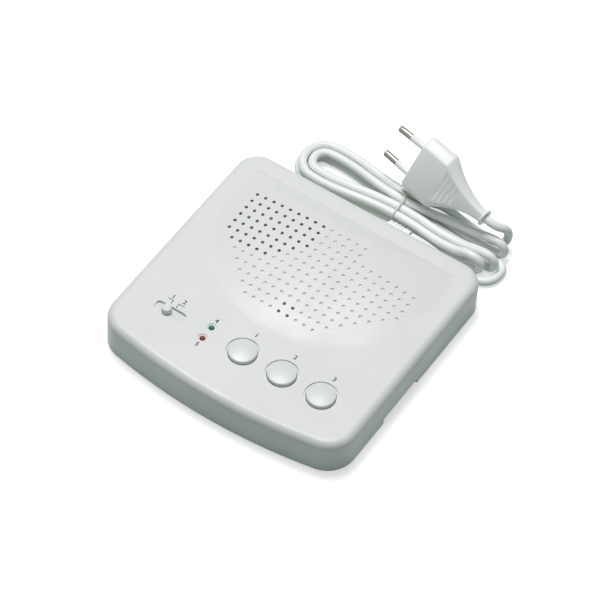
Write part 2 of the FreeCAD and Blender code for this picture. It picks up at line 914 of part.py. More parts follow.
def speaker_frame():
    top = speaker_top
    low = top - speaker_flange_t - speaker_deep
    under = top - speaker_flange_t
    s = speaker_sheet
    neck = cone_neck_r + speaker_neck_room
    inside = cone_r + cone_room
    basket = facet_turned(
        [
            (speaker_r, top), (speaker_r, under), (cone_r + speaker_step, under),
            (speaker_back_r, low), (neck, low), (neck, low + s),
            (speaker_back_r - s / 2, low + s), (inside, under + s / 4), (inside, top),
        ],
        round_sides, speaker_x, speaker_y,
    )
    holes = []
    size = (speaker_r, speaker_window_w, speaker_window_h)
    for i in range(speaker_windows):
        hole = box(size, speaker_x + speaker_r / 2, speaker_y, low + speaker_deep / 4)
        hole.rotate(V(speaker_x, speaker_y, 0), UP, 360 / speaker_windows * (i + 0.5))
        holes.append(hole)
    return basket.cut(holes)


def speaker_cone():
    top = speaker_top - cone_sunk
    neck = speaker_top - speaker_deep + cone_lift
    cap = neck + cone_cap
    roll = cone_r - cone_roll
    t = cone_t
    return facet_turned(
        [
            (cone_r, top), (roll, top - t), (cone_neck_r, neck), (0, cap), (0, cap + t),
            (cone_neck_r + cone_neck_t, neck + t), (roll, top), (cone_r - cone_roll_top, top + t),
        ],
        round_sides, speaker_x, speaker_y,
    )


def speaker_magnet():
    top = speaker_top - speaker_flange_t - speaker_deep
    return prism(magnet_r, round_sides, speaker_x, speaker_y, top - magnet_t, magnet_t)


def speaker_screws():
    low = speaker_top - speaker_flange_t
    return Part.makeCompound([
        pan_screw(x, y, low, 1, screw_r - screw_slack, speaker_head_r, speaker_head_h, speaker_screw_bite)
        for x, y in speaker_posts()
    ])


def microphone_boot():
    x, y = mic_place()
    low = mic_top - mic_h
    outer = prism(mic_r + mic_boot_t, round_sides, x, y, low - mic_boot_t, mic_h + mic_boot_t)
    pocket = prism(mic_r, round_sides, x, y, low, mic_h)
    vent = prism(mic_r / 2, screw_sides, x, y, low - 1.5 * mic_boot_t, 2 * mic_boot_t)
    return outer.cut(pocket).cut(vent)


def microphone_capsule():
    x, y = mic_place()
    return prism(mic_r, round_sides, x, y, mic_top - mic_h, mic_h - mic_face_gap)


def transformer_core():
    x, y = core_pos
    frame = box(core_box, x, y, floor_top)
    window_low = floor_top + (core_box[2] - bobbin_box[2]) / 2
    window = box((bobbin_box[0], core_box[1] + 2, bobbin_box[2]), x, y, window_low)
    leg = box((core_leg_w, core_box[1], bobbin_box[2]), x, y, window_low)
    foot = box((core_box[0] + 2 * core_ear, core_foot_w, core_foot_t), x, y, floor_top)
    core = joined([frame.cut(window).fuse(leg), foot])
    ear = core_box[0] / 2 + core_ear / 2
    holes = [cylinder(core_hole_r, 3 * core_foot_t, x + s * ear, y, floor_top - core_foot_t) for s in (-1, 1)]
    return core.cut(holes)


def transformer_bobbin():
    x, y = core_pos
    width, length, height = bobbin_box
    low = floor_top + (core_box[2] - height) / 2
    winding = box(bobbin_box, x, y, low).cut(box((core_leg_w, length + 2, height), x, y, low))
    cheek = (width - 2 * cheek_inset, cheek_t, height - 2 * cheek_low)
    out = core_box[1] / 2 + cheek_out
    return joined([winding] + [box(cheek, x, y + side * out, low + cheek_low) for side in (-1, 1)])


def transformer_screws():
    x, y = core_pos
    ear = core_box[0] / 2 + core_ear / 2
    r, head_r, head_h, bite = core_screw
    return Part.makeCompound([
        pan_screw(x + s * ear, y, floor_top + core_foot_t, -1, r, head_r, head_h, core_foot_t + bite)
        for s in (-1, 1)
    ])


def smoothing_capacitor():
    x, y = smooth_cap_pos
    start = V(x - smooth_cap_len / 2, y, board_top + smooth_cap_r)
    return bar_along(start, V(1, 0, 0), smooth_cap_r, smooth_cap_len, round_sides)


def line_fuse():
    x, y = fuse_pos
    z = board_top + fuse_lift + fuse_r
    glass = bar_along(V(x - fuse_len / 2, y, z), V(1, 0, 0), fuse_r, fuse_len, post_sides)
    clip = (fuse_clip_w, 2 * (fuse_r + fuse_clip_t), fuse_lift + fuse_r)
    out = (fuse_len - fuse_clip_w) / 2
    clips = [box(clip, x + s * out, y, board_top) for s in (-1, 1)]
    return joined([glass] + clips)


def terminal_block():
    block = box(terminal_box, terminal_x, terminal_y, board_top)
    start = terminal_y + terminal_box[1] / 2 - terminal_hole_deep
    r = wire_r + terminal_hole_gap
    z = exit_z + wire_rise
    return block.cut([
        cylinder(r, terminal_hole_deep, terminal_x + s * wire_spread, start, z, V(0, 1, 0)) for s in (-1, 1)
    ])


def tube(points, r, bend_r=None):
    """A tube along straight runs joined by tangent arcs, with its length and tightest radius.

    Each arc is as large as its two runs allow, unless bend_r gives it."""
    edges = []
    start = points[0]
    tightest = 1e9
    for before, corner, after in zip(points, points[1:], points[2:]):
        to_before = (before - corner).normalize()
        to_after = (after - corner).normalize()
        turn = math.pi - to_before.getAngle(to_after)
        tangent = 0.45 * min(before.distanceToPoint(corner), after.distanceToPoint(corner))
        if bend_r:
            tangent = min(tangent, bend_r * math.tan(turn / 2))
        bend = tangent / math.tan(turn / 2)
        tightest = min(tightest, bend)
        p0 = corner + to_before * tangent
        p1 = corner + to_after * tangent
        inward = (to_before + to_after).normalize()
        mid = corner + inward * (math.hypot(bend, tangent) - bend)
        edges.append(Part.LineSegment(start, p0).toShape())
        edges.append(Part.Arc(p0, mid, p1).toShape())
        start = p1
    edges.append(Part.LineSegment(start, points[-1]).toShape())
    return swept(edges, r), sum(e.Length for e in edges), tightest


def polygon_round(at, way, r, sides):
    """A closed polygon square to way at a point, its corners on the circle."""
    side = way.cross(UP).normalize()
    over = side.cross(way)
    turn = 2 * math.pi / sides
    ring = []
    for i in range(sides):
        a = turn * (i + 0.5)
        ring.append(at + side * (r * math.cos(a)) + over * (r * math.sin(a)))
    return Part.makePolygon(ring + [ring[0]])


def swept(edges, r):
    """A tube with cord_sides flats along the edges; its corners lie on the round cord."""
    wire = Part.Wire(edges)
    first = edges[0]
    start = first.valueAt(first.FirstParameter)
    way = first.tangentAt(first.FirstParameter)
    return wire.makePipeShell([polygon_round(start, way, r, cord_sides)], True, False)


def bar_along(at, way, r, length, sides):
    """A straight bar with flats, from a point along way."""
    return Part.Face(polygon_round(at, way, r, sides)).extrude(way * length)


def section_area(r):
    return cord_sides / 2 * r * r * math.sin(2 * math.pi / cord_sides)


def report(name, solid, length, r, tightest):
    share = solid.Volume / (section_area(r) * length)
    print(f"{name}: length {length:.1f}, tightest radius {tightest:.1f}, volume share {share:.4f}")


def strain_relief():
    """A tapered sleeve: flange inside the wall, neck in the slot, and a bend to the right."""
    inner_y = rear_y - wall
    back = V(0, 1, 0)
    seat = V(exit_x, inner_y - lid_gap, exit_z)
    flange = bar_along(seat - back * boot_flange_t, back, boot_flange_r, boot_flange_t, boot_sides)
    neck = bar_along(seat, back, boot_neck_r, wall + lid_gap, boot_sides)
    rings = []
    arc_len = boot_bend_r * math.pi / 2
    whole = boot_straight + arc_len + boot_run
    centre = V(exit_x + boot_bend_r, rear_y + boot_straight, exit_z)

    def ring(at, way, done):
        r = boot_root_r + (boot_tip_r - boot_root_r) * done / whole
        rings.append(polygon_round(at, way, r, boot_sides))

    ring(V(exit_x, rear_y, exit_z), V(0, 1, 0), 0)
    for i in range(boot_steps + 1):
        a = math.pi / 2 * i / boot_steps
        at = centre + V(-math.cos(a), math.sin(a), 0) * boot_bend_r
        ring(at, V(math.sin(a), math.cos(a), 0), boot_straight + boot_bend_r * a)
    ring(V(boot_end_x, boot_y, exit_z), V(1, 0, 0), whole)
    sleeve = Part.makeLoft(rings, True, True)
    return joined([flange, neck, sleeve])


def inner_cord():
    start = rear_y - wall - lid_gap - boot_flange_t
    return cylinder(cord_r, sheath_len, exit_x, start - sheath_len, exit_z, V(0, 1, 0))


def mains_wires():
    start = rear_y - wall - lid_gap - boot_flange_t - sheath_len
    end = terminal_y + terminal_box[1] / 2
    wires = []
    for side in (-1, 1):
        x0 = exit_x + side * wire_gap
        x1 = terminal_x + side * wire_spread
        z1 = exit_z + wire_rise
        run = (start - end) * wire_straight
        points = [
            V(x0, start, exit_z), V(x0, start - run, exit_z),
            V(x1, end + run, z1), V(x1, end - wire_seat, z1),
        ]
        wires.append(tube(points, wire_r)[0])
    return Part.makeCompound(wires)


def cord_clamp():
    z = exit_z
    bar = box((clamp_w, clamp_d, clamp_t), exit_x, clamp_y, z)
    hump = box((2 * cord_r + clamp_hump, clamp_d, cord_r + clamp_t), exit_x, clamp_y, z)
    body = joined([bar, hump]).cut(cylinder(cord_r, 2 * clamp_d, exit_x, clamp_y - clamp_d, z, V(0, 1, 0)))
    return body.cut([
        cylinder(board_screw_r, 3 * clamp_t, exit_x + s * clamp_screw_x, clamp_y, z - clamp_t)
        for s in (-1, 1)
    ])


def clamp_screws():
    top = exit_z + clamp_t
    r = board_screw_r - screw_slack
    head_r, head_h = clamp_screw_head_r, clamp_screw_head_h
    bite = clamp_t + board_screw_bite
    return Part.makeCompound([
        pan_screw(exit_x + s * clamp_screw_x, clamp_y, top, -1, r, head_r, head_h, bite)
        for s in (-1, 1)
    ])


def lead_points():
    """The lead from its sleeve along the rear wall, down to the table."""
    return [
        V(boot_end_x, boot_y, exit_z), V(boot_end_x + lead_straight, boot_y, exit_z),
        V(entry_x - lead_landing, boot_y, layer_low), V(entry_x, boot_y, layer_low),
    ]


def plug_placement():
    turn = FreeCAD.Rotation(UP, plug_heading)
    turn = turn.multiply(FreeCAD.Rotation(V(0, 1, 0), plug_dip))
    turn = turn.multiply(FreeCAD.Rotation(V(1, 0, 0), plug_roll))
    return FreeCAD.Placement(V(*plug_at), turn)


def waist(k, z, way):
    return V(waist_x, waist_y + (k - 1) * turn_pitch, z), V(way, 0, 0)


def left_turn(k_from, layer, outer):
    """Half a turn round the open left end, from column k_from to its opposite one."""
    z = (layer_low, layer_high)[layer]
    x = (left_x_low, left_x_high)[layer]
    r = left_r[0 if outer else 1]
    side = -1 if k_from < 3 else 1
    return [(V(x, left_y + side * r, z), V(-1, 0, 0)), (V(x, left_y - side * r, z), V(1, 0, 0))]


def right_turn(col, x, upwards):
    """Half a turn on edge at the right end: the two layers of one column meet there."""
    y = right_y + col * turn_pitch
    low = [V(right_x, y, layer_low), V(x, y, layer_low)]
    high = [V(x, y, layer_low + 2 * right_turn_r), V(rise_x, y + rise_aside, rise_z)]
    out, back = V(1, 0, 0), V(-1, 0, 0)
    if upwards:
        return [(low[0], out), (low[1], out), (high[0], back), (high[1], V(-1, 0, -rise_slope))]
    return [(high[1], V(1, 0, rise_slope)), (high[0], out), (low[1], back), (low[0], back)]


def hank_stations():
    """Points with their directions, in the order in which the lead was wound."""
    low, high = layer_low, layer_high
    back_y = right_y + 2 * turn_pitch
    stations = [
        (V(entry_x, boot_y, low), V(1, 0, 0)),
        (V(entry_edge_x - entry_turn_r, boot_y, low), V(1, 0, 0)),
        (V(entry_edge_x, boot_y + entry_turn_r, low), V(0, 1, 0)),
        (V(entry_edge_x, back_y - entry_back_r, low), V(0, 1, 0)),
        (V(entry_edge_x - entry_back_r, back_y, low), V(-1, 0, 0)),
        (V(right_x, back_y, low), V(-1, 0, 0)),
        waist(3, low, -1),
    ]
    stations += left_turn(3, 0, False)
    stations.append(waist(2, low, 1))
    stations += right_turn(1, right_turn_x[1], True)
    stations.append(waist(2, high, -1))
    stations += left_turn(2, 1, False)
    stations.append(waist(3, high, 1))
    stations += right_turn(3, right_turn_x[2], False)
    stations.append(waist(4, low, -1))
    stations += left_turn(4, 0, True)
    stations.append(waist(1, low, 1))
    stations += right_turn(0, right_turn_x[0], True)
    stations.append(waist(1, high, -1))
    stations += left_turn(1, 1, True)
    stations.append(waist(4, high, 1))
    tail_y = right_y + 4 * turn_pitch + tail_aside
    crossing_x, crossing_aside, crossing_down = tail_crossing
    landing_x, landing_aside, landing_up = tail_landing
    place = plug_placement()
    tail_way = place.Rotation.multVec(V(1, 0, 0))
    flange = place.multVec(V(plug_len, 0, 0))
    stations += [
        (V(crossing_x, tail_y + crossing_aside, high - crossing_down), V(1, 0, -tail_crossing_fall)),
        (V(landing_x, tail_y + landing_aside, low + landing_up), V(1, 0, -tail_landing_fall)),
        (V(tail_low_x, tail_y, low), V(1, 0, 0)),
        (V(*tail_side), V(0, -0.3, 1)),
        (flange + tail_way * (cord_d + 0.3), tail_way * -1),
        (flange, tail_way * -1),
    ]
    return stations


def biarc(p0, t0, p1, t1):
    """Two arcs that leave p0 along t0 and reach p1 along t1."""
    span = p1 - p0
    total = t0 + t1
    a = 2 * (1 - t0.dot(t1))
    b = 2 * span.dot(total)
    c = -span.dot(span)
    if a < 1e-9:
        d = -c / b
    else:
        d = (-b + math.sqrt(b * b - 4 * a * c)) / (2 * a)
    joint = (p0 + t0 * d + p1 - t1 * d) * 0.5
    return [arc(p0, p0 + t0 * d, joint), arc(joint, p1 - t1 * d, p1)]


def arc(start, corner, end):
    """The arc from start to end whose tangents meet at corner, and its radius."""
    middle = (start + end) * 0.5
    half = start.distanceToPoint(end) / 2
    lean = corner - middle
    if lean.Length < 1e-5 * half:
        return Part.LineSegment(start, end).toShape(), 1e9
    half_turn = math.atan2(lean.Length, half)
    rise = half * math.tan(half_turn / 2)
    top = middle + lean.normalize() * rise
    return Part.Arc(start, top, end).toShape(), half / math.sin(half_turn)


def hank_edges():
    stations = hank_stations()
    edges = []
    for (p0, t0), (p1, t1) in zip(stations, stations[1:]):
        edges += biarc(p0, V(t0).normalize(), p1, V(t1).normalize())
    return edges


def least_self_gap(edges):
    """The least clear gap between stretches of the tube that aren't neighbours along it."""
    step = 1.5
    points = []
    for edge, radius in edges:
        count = max(2, int(edge.Length / step))
        for i in range(count):
            share = edge.FirstParameter + (edge.LastParameter - edge.FirstParameter) * i / count
            points.append(edge.valueAt(share))
    skip = int(3.2 * cord_d / step)
    best = 1e9
    where = None
    for i, p in enumerate(points):
        for q in points[i + skip:]:
            far = p.distanceToPoint(q)
            if far < best:
                best = far
                where = (p, q)
    return best - cord_d, where


def cord_hank():
    pairs = hank_edges()
    edges = [e for e, radius in pairs]
    solid = swept(edges, cord_r)
    length = sum(e.Length for e in edges)
    report("cord_hank", solid, length, cord_r, min(radius for e, radius in pairs))
    gap, where = least_self_gap(pairs)
    print(f"cord_hank: least gap to itself {gap:.2f} near {where[0]} and {where[1]}")
    return solid


def cord_tie():
    """A thin wire tie round the drawn-in waist, its two ends laid along the top strand."""
    side = cord_r + tie_gap + tie_r
    y0 = waist_y - side
    y1 = waist_y + 3 * turn_pitch + side
    z0 = tie_r
    z1 = layer_high + side
    end_y = y1 - 2 * side
    x0 = waist_x - tie_r - tie_gap
    x1 = waist_x + tie_r + tie_gap
    tip_z = z1 + tie_end_up
    near, far = tie_end_aside
    points = [
        V(x0 - tie_end, end_y, tip_z), V(x0, end_y, z1), V(x0, y0, z1), V(waist_x, y0, z0),
        V(x1, y1, z0), V(x1, y1, z1), V(x1, end_y + near, z1), V(x1 - tie_end, end_y + far, tip_z),
    ]
    return tube(points, tie_r, side)[0]


def plug_section(x, scale_w, scale_t):
    """An eight-sided section of the plug's body across its length at x."""
    w = plug_w / 2 * scale_w
    t = plug_t / 2 * scale_t
    cut = (plug_w - plug_flat_w) / 2 * min(scale_w, scale_t)
    ring = [
        V(x, -w + cut, t), V(x, w - cut, t), V(x, w, t - cut), V(x, w, cut - t),
        V(x, w - cut, -t), V(x, cut - w, -t), V(x, -w, cut - t), V(x, -w, t - cut),
    ]
    return Part.makePolygon(ring + [ring[0]])


def plug_body():
    """Flat two-pin plug: faceted block, tail drawn in along a hollow curve, end flange."""
    face_w, face_t, face_bevel = plug_face
    faces = [plug_section(0, face_w, face_t), plug_section(face_bevel, 1, 1), plug_section(plug_block, 1, 1)]
    block = Part.makeLoft(faces, True, True)
    tail_len = plug_len - plug_flange_t - plug_block
    power_w, power_t = plug_tail_powers
    sections = []
    for i in range(plug_tail_steps + 1):
        u = i / plug_tail_steps
        w = (plug_neck_r + (plug_w / 2 - plug_neck_r) * (1 - u) ** power_w) / (plug_w / 2)
        t = (plug_neck_r + (plug_t / 2 - plug_neck_r) * (1 - u) ** power_t) / (plug_t / 2)
        sections.append(plug_section(plug_block + tail_len * u, w, t))
    tail = Part.makeLoft(sections, True, True)
    flange = cylinder(plug_flange_r, plug_flange_t, plug_len - plug_flange_t, 0, 0, V(1, 0, 0))
    body = joined([block, tail, flange])
    cuts = []
    len_first, len_less = grip_len
    skin_less, skin_sunk = grip_skin
    for side in (-1, 1):
        for i in range(grip_ribs):
            x = plug_block + grip_start + grip_pitch * i
            wide = plug_flat_w * (len_first - len_less * i)
            t = plug_t / 2 * (1 - skin_less * i) - skin_sunk
            low = t - grip_deep if side > 0 else -t - 2
            cuts.append(Part.makeBox(grip_w, wide, grip_deep + 2, V(x, -wide / 2, low)))
    body = body.cut(cuts)
    body.Placement = plug_placement()
    return body


def pin_line(side):
    """Root and direction of one pin: the two lean a little towards each other."""
    root = V(0, side * pin_base / 2, 0)
    tip = V(-pin_len, side * pin_tip / 2, 0)
    return root, (tip - root).normalize()


def plug_pins():
    pins = []
    for side in (-1, 1):
        root, way = pin_line(side)
        shank = bar_along(root, way, pin_r - sleeve_wall, sleeve_len, pin_sides)
        bare = bar_along(root + way * sleeve_len, way, pin_r, pin_len - sleeve_len - pin_nose, pin_sides)
        nose_at = root + way * (pin_len - pin_nose)
        rings = [
            polygon_round(nose_at, way, pin_r, pin_sides),
            polygon_round(nose_at + way * pin_nose, way, pin_r - pin_nose, pin_sides),
        ]
        pins.append(joined([shank, bare, Part.makeLoft(rings, True, True)]))
    group = Part.makeCompound(pins)
    group.Placement = plug_placement()
    return group


def plug_sleeves():
    sleeves = []
    for side in (-1, 1):
        root, way = pin_line(side)
        outer = bar_along(root, way, pin_r, sleeve_len, pin_sides)
        sleeves.append(outer.cut(bar_along(root, way, pin_r - sleeve_wall, sleeve_len, pin_sides)))
    group = Part.makeCompound(sleeves)
    group.Placement = plug_placement()
    return group


def cord_lead():
    solid, length, tightest = tube(lead_points(), cord_r)
    report("cord_lead", solid, length, cord_r, tightest)
    return solid


nodes = {
    "top_cover": top_cover,
    "base_cover": base_cover,
    "rubber_feet": rubber_feet,
    "case_screws": case_screws,
    "circuit_board": circuit_board,
    "board_screws": board_screws,
    "push_switches": push_switches,
    "channel_knob": channel_knob,
    "channel_switch": channel_switch,
    "volume_wheel": volume_wheel,
    "volume_pot": volume_pot,
    "green_lamp": lambda: lamp(lamp_green_y),
    "red_lamp": lambda: lamp(lamp_red_y),
    "lamp_spacers": lamp_spacers,
    "speaker_frame": speaker_frame,
    "speaker_cone": speaker_cone,
    "speaker_magnet": speaker_magnet,
    "speaker_screws": speaker_screws,
    "microphone_boot": microphone_boot,
    "microphone_capsule": microphone_capsule,
    "transformer_core": transformer_core,
    "transformer_bobbin": transformer_bobbin,
    "transformer_screws": transformer_screws,
    "line_capacitor": lambda: box(x_cap_box, x_cap_pos[0], x_cap_pos[1], board_top),
    "smoothing_capacitor": smoothing_capacitor,
    "coupling_coil": lambda: box(coil_box, coil_pos[0], coil_pos[1], board_top),
    "audio_chip": lambda: box(chip_box, chip_pos[0], chip_pos[1], board_top),
    "line_fuse": line_fuse,
    "terminal_block": terminal_block,
    "mains_wires": mains_wires,
    "inner_cord": inner_cord,
    "cord_clamp": cord_clamp,
    "clamp_screws": clamp_screws,
    "strain_relief": strain_relief,
    "cord_lead": cord_lead,
    "cord_hank": cord_hank,
    "cord_tie": cord_tie,
    "plug_body": plug_body,
    "plug_pins": plug_pins,
    "plug_sleeves": plug_sleeves,
}

for key_name, x in zip(key_names, key_xs):
    nodes[key_name + "_button"] = lambda x=x: key_cap(x)
    nodes[key_name + "_plunger"] = lambda x=x: key_plunger(x)

os.makedirs(OUT, exist_ok=True)
for name, make in nodes.items():
    shape = make()
    if not shape.isValid() or shape.Volume <= 0:
        print(f"{name}: not a valid solid")
    shape.exportStep(f"{OUT}/{name}.step")
print(len(nodes), "nodes")
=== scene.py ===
"""Desk intercom station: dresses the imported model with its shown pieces, materials and stage.

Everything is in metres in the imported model's frame. The sizes below are in millimetres and
multiplied by MM where they are used; the changeable ones and the light and camera are metres.
"""
import json
import math

import bpy
from mathutils import Matrix, Vector

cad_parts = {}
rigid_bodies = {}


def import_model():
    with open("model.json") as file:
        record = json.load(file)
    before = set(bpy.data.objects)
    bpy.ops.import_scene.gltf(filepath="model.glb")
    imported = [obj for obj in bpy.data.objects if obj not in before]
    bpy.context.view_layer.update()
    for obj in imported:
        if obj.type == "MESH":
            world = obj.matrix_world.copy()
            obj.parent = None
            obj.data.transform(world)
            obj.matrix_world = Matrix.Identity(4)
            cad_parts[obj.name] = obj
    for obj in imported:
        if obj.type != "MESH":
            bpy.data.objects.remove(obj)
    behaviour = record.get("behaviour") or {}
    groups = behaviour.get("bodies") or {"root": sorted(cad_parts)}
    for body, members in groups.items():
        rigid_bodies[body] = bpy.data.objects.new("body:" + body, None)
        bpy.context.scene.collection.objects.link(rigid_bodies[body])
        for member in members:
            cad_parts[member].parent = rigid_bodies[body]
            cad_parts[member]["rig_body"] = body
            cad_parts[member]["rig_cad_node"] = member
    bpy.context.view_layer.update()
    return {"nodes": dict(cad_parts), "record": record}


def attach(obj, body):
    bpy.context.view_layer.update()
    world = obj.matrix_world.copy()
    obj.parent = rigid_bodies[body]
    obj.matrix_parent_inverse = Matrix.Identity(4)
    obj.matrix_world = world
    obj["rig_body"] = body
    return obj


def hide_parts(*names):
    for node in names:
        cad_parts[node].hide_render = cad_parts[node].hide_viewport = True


bl_info = {
    "name": "Intercom Station",
    "version": (1, 0, 0),
    "blender": (4, 5, 0),
    "location": "View3D > Sidebar > Station",
    "description": "Dresses the packed intercom station with pieces, materials and a stage",
    "category": "Object",
}

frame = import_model()

MM = 0.001
HOME_BODY = "station"
SAME_POINT = 1e-6

# Cover
COVER_TOP = 23.2
DOME_RADIUS = 410.0
DOME_RISE = 5.3
DOME_Y = 43.2
LATTICE_X = -54.0
LATTICE_Y = 48.35
LATTICE_PITCH = 5.4
LATTICE_ROWS = (
    (0, 13), (0, 13), (0, 20), (0, 20), (0, 20), (0, 20),
    (1, 19), (2, 18), (3, 17), (4, 16), (5, 15), (6, 14),
)
OPEN_COLUMNS = {0: (0, 8), 1: (0, 8), 2: (0, 8), 3: (0, 8), 4: (0, 7), 5: (0, 6), 6: (1, 5)}
MICROPHONE_PLACES = ((10, 10), (10, 11), (11, 10), (11, 11))
DRILL_LENGTH = 12.0

# Sections of the turned pieces are (radius, height) pairs from the bottom up

# Keys: stem, flange, wall and the rounded rim, then the crown in shares of its radius
KEYS = (("lock", -1.0), ("call", 23.9), ("talk", 48.6))
KEY_Y = -43.3
KEY_SECTION = (
    (3.0, 17.4), (3.0, 19.5), (9.65, 19.5), (9.65, 20.7), (7.95, 20.7),
    (7.95, 23.7), (7.92, 24.0), (7.8, 24.25), (7.6, 24.42), (7.3, 24.5),
)
KEY_CROWN = 0.7
KEY_CROWN_SHARES = (0.86, 0.72, 0.58, 0.44, 0.3, 0.16, 0.04)
KEY_RING_RADIUS = 9.3
KEY_RING_FLOOR = 22.3

# Lamps
LAMPS = (("green", -39.7), ("red", -48.1))
LAMP_X = -23.45
LAMP_TOP = 24.2
LAMP_RADIUS = 1.5
LAMP_COLLAR = (1.95, 18.2, 19.2)
LAMP_DOME_STEPS = 8
LAMP_DOME_TURN = 11.8
GLOW_RADIUS = 3.0
GLOW_SOFTNESS = 0.6

# Slide: the dished knob, its arm through the gap at the rear wall, and its stem
KNOB_PLACE = (-49.1, -44.4)
KNOB_SECTION = (
    (2.5, 23.3), (2.75, 23.42), (2.78, 25.7), (2.72, 26.05), (2.5, 26.35),
    (2.15, 26.5), (1.6, 26.48), (1.0, 26.38), (0.4, 26.34),
)
ARM_HALF = 0.8
ARM_TOP = (23.31, 23.9)
ARM_LOW = (19.6, 20.4)
ARM_FROM_REAR = (0.48, 0.13)
ARM_START = 1.5
STEM_Y = -43.2
STEM_BACK = 0.9
STEM_SECTION = ((0.9, 12.6), (0.9, 19.8))

# Slide recess in the cover: its tilted floor, ends, and the gap at the foot of its walls
SKIN_UNDER = 21.0
PATCH_SUNK = 0.01
RECESS_X = (-56.9, -38.5)
RECESS_REAR = -40.6
RECESS_FRONT = -48.0
RECESS_DEEP = 1.25
RECESS_LENGTH = 6.2
RECESS_CORNER = 2.2
RECESS_HEIGHT = 8.0
RECESS_GAP = 0.35
GAP_FRONT = -43.4
GAP_INSET = 0.03
GAP_CORNER = 1.9
GAP_INNER_CORNER = 1.4
GAP_HEIGHTS = (20.0, 26.0)
LEVEL = 0.99999
FLOOR_TILT = (0.9, -0.05)
OLD_SCOOP_X = (-57.3, -39.9)
OLD_SCOOP_Y = (-45.6, -38.3)

# Marks: plain numbers at the controls, and L-shaped ticks as corner, first and second leg
NUMBERS = (
    ("1", -51.4, -34.5), ("2", -44.3, -34.3), ("1", -1.0, -30.4), ("2", 23.9, -30.4),
    ("3", 48.6, -30.4), ("4", -23.4, -34.6), ("5", -23.4, -53.2),
)
TICKS = (((-50.1, -36.7), (0, -2.3), (-3.0, 0)), ((-46.2, -37.0), (0, -2.6), (3.3, 0)))
TICK_WIDTH = 0.42
LETTER_SIZE = 1.35
LETTER_WEIGHT = 0.035

# Mains lead: given points at both ends, and the sizes of the hank between them
LEAD_POINTS = ((24, 83.7, 8.6), (34, 83.7, 8.6), (50, 83.7, 2.5), (61, 83.7, 2.5))
TAIL_POINTS = (
    (14, 109, 8), (26, 113.5, 8), (39, 113.2, 4), (50, 112.6, 2.5), (60, 112.2, 2.5),
    (66.5, 113, 4), (68, 114.2, 10), (67.5, 112.5, 18), (62, 107.7, 21), (55.1, 108.6, 22.3),
)
LAYER_Z = (2.5, 8.0)
ROW_PITCH = 5.5
WAIST_Y = 92.5
RUN_X = ((43, 20, -4.5, -31), (36, 18, -4, -30))
LEFT_X = (-45.5, -43.5)
LEFT_Y = 101.0
LEFT_RADII = (12.8, 7.2)
INNER_ROWS = (2, 3)
RIGHT_Y = 89.4
RIGHT_X = {0: 60.3, 1: 65.9, 3: 65.4}
RIGHT_RADIUS = 5.0
HUMP_BACK = 5.0
RISE = (50, 0.6, 8.8)
ENTRY_TURNS = (((65.7, 93.2), 9.5, -90), ((69.9, 95.2), 5.3, 0))
TURN_STEP = 30

# Passes of the winding: column in, waist row in, layer, waist row out, column out
WINDING = ((2, 3, 0, 2, 1), (1, 2, 1, 3, 3), (3, 4, 0, 1, 0), (0, 1, 1, 4, None))

# Boot: flange and neck in the wall, ribs that taper, and the lead's mouth
BOOT_PATH = (
    (10, 72, 8.6), (10, 77.7, 8.6), (10, 82.2, 8.6), (11.7, 83.7, 8.6), (16, 83.7, 8.6),
    (25.5, 83.7, 8.6),
)
BOOT_ROOT = ((4.9, 0.0), (4.9, 2.0), (3.6, 2.1), (3.6, 4.4), (4.1, 4.5), (4.1, 5.6))
BOOT_MOUTH = ((2.95, 21.2), (2.95, 23.2), (2.8, 23.5))
RIBS = 7
RIB_START = 6.2
RIB_PITCH = 2.1
RIB_RADIUS = 4.02
RIB_TAPER = 0.155
RIB_DEEP = 0.45
RIB_EDGES = (0.7, 0.95, 1.85)

# Tie
TIE_RADIUS = 0.55
TIE_POINTS = (
    (0.9, 105.8, 11.4), (5.0, 105.8, 11.35), (7.9, 103.5, 11.2), (7.9, 91.3, 11.2),
    (7.9, 89.3, 9.2), (8.6, 89.3, 2.55), (8.6, 91.3, 0.55), (9.0, 110.2, 0.55),
    (9.3, 112.2, 2.55), (9.3, 112.2, 9.2), (9.3, 110.2, 11.2), (8.4, 107.4, 11.3),
    (5.6, 107.0, 11.3), (2.3, 107.4, 11.4),
)

# Plug: the block with its pins down, then the tail drawn in to the neck and the end flange
PLUG_AT = (6.2, 116.0, 29.3)
PLUG_TURN = (("Z", -8.6), ("Y", 8.1), ("X", 61.0))
PLUG_WIDTH = 35.3
PLUG_THICK = 13.7
PLUG_BLOCK = 18.0
PLUG_CORNER = 4.5
PLUG_FACE = (0.965, 0.93)
PLUG_FACE_DEEP = 1.3
PLUG_NECK = 3.4
TAIL_STEPS = 12
TAIL_POWERS = (1.9, 1.2)
TAIL_END = 48.6
FLANGE_SECTION = ((3.2, -2.0), (3.3, -0.4), (4.6, 0.0), (5.0, 0.3), (5.0, 1.1), (4.7, 1.4))
GROOVES = 4
GROOVE_START = 2.6
GROOVE_PITCH = 3.0
GROOVE_LENGTH = 19.0
GROOVE_SHORTER = 3.4
GROOVE_SIZE = (3.0, 1.3)
SKIN_FALL = 0.052

# Contacts and their collars, from the plug's face outwards
PIN_BASE = 18.6
PIN_TIP = 17.5
PIN_LENGTH = 19.0
SLEEVE_LENGTH = 10.0
CONTACT_SECTION = (
    (1.6, -0.8), (1.62, SLEEVE_LENGTH - 0.05), (1.98, SLEEVE_LENGTH), (1.98, 18.1),
    (1.85, 18.5), (1.5, 18.8), (0.9, 18.96), (0.3, PIN_LENGTH),
)
COLLAR_SECTION = (
    (2.1, -0.6), (2.1, 0.0), (2.0, 0.5), (2.0, SLEEVE_LENGTH - 0.2), (1.86, SLEEVE_LENGTH),
)

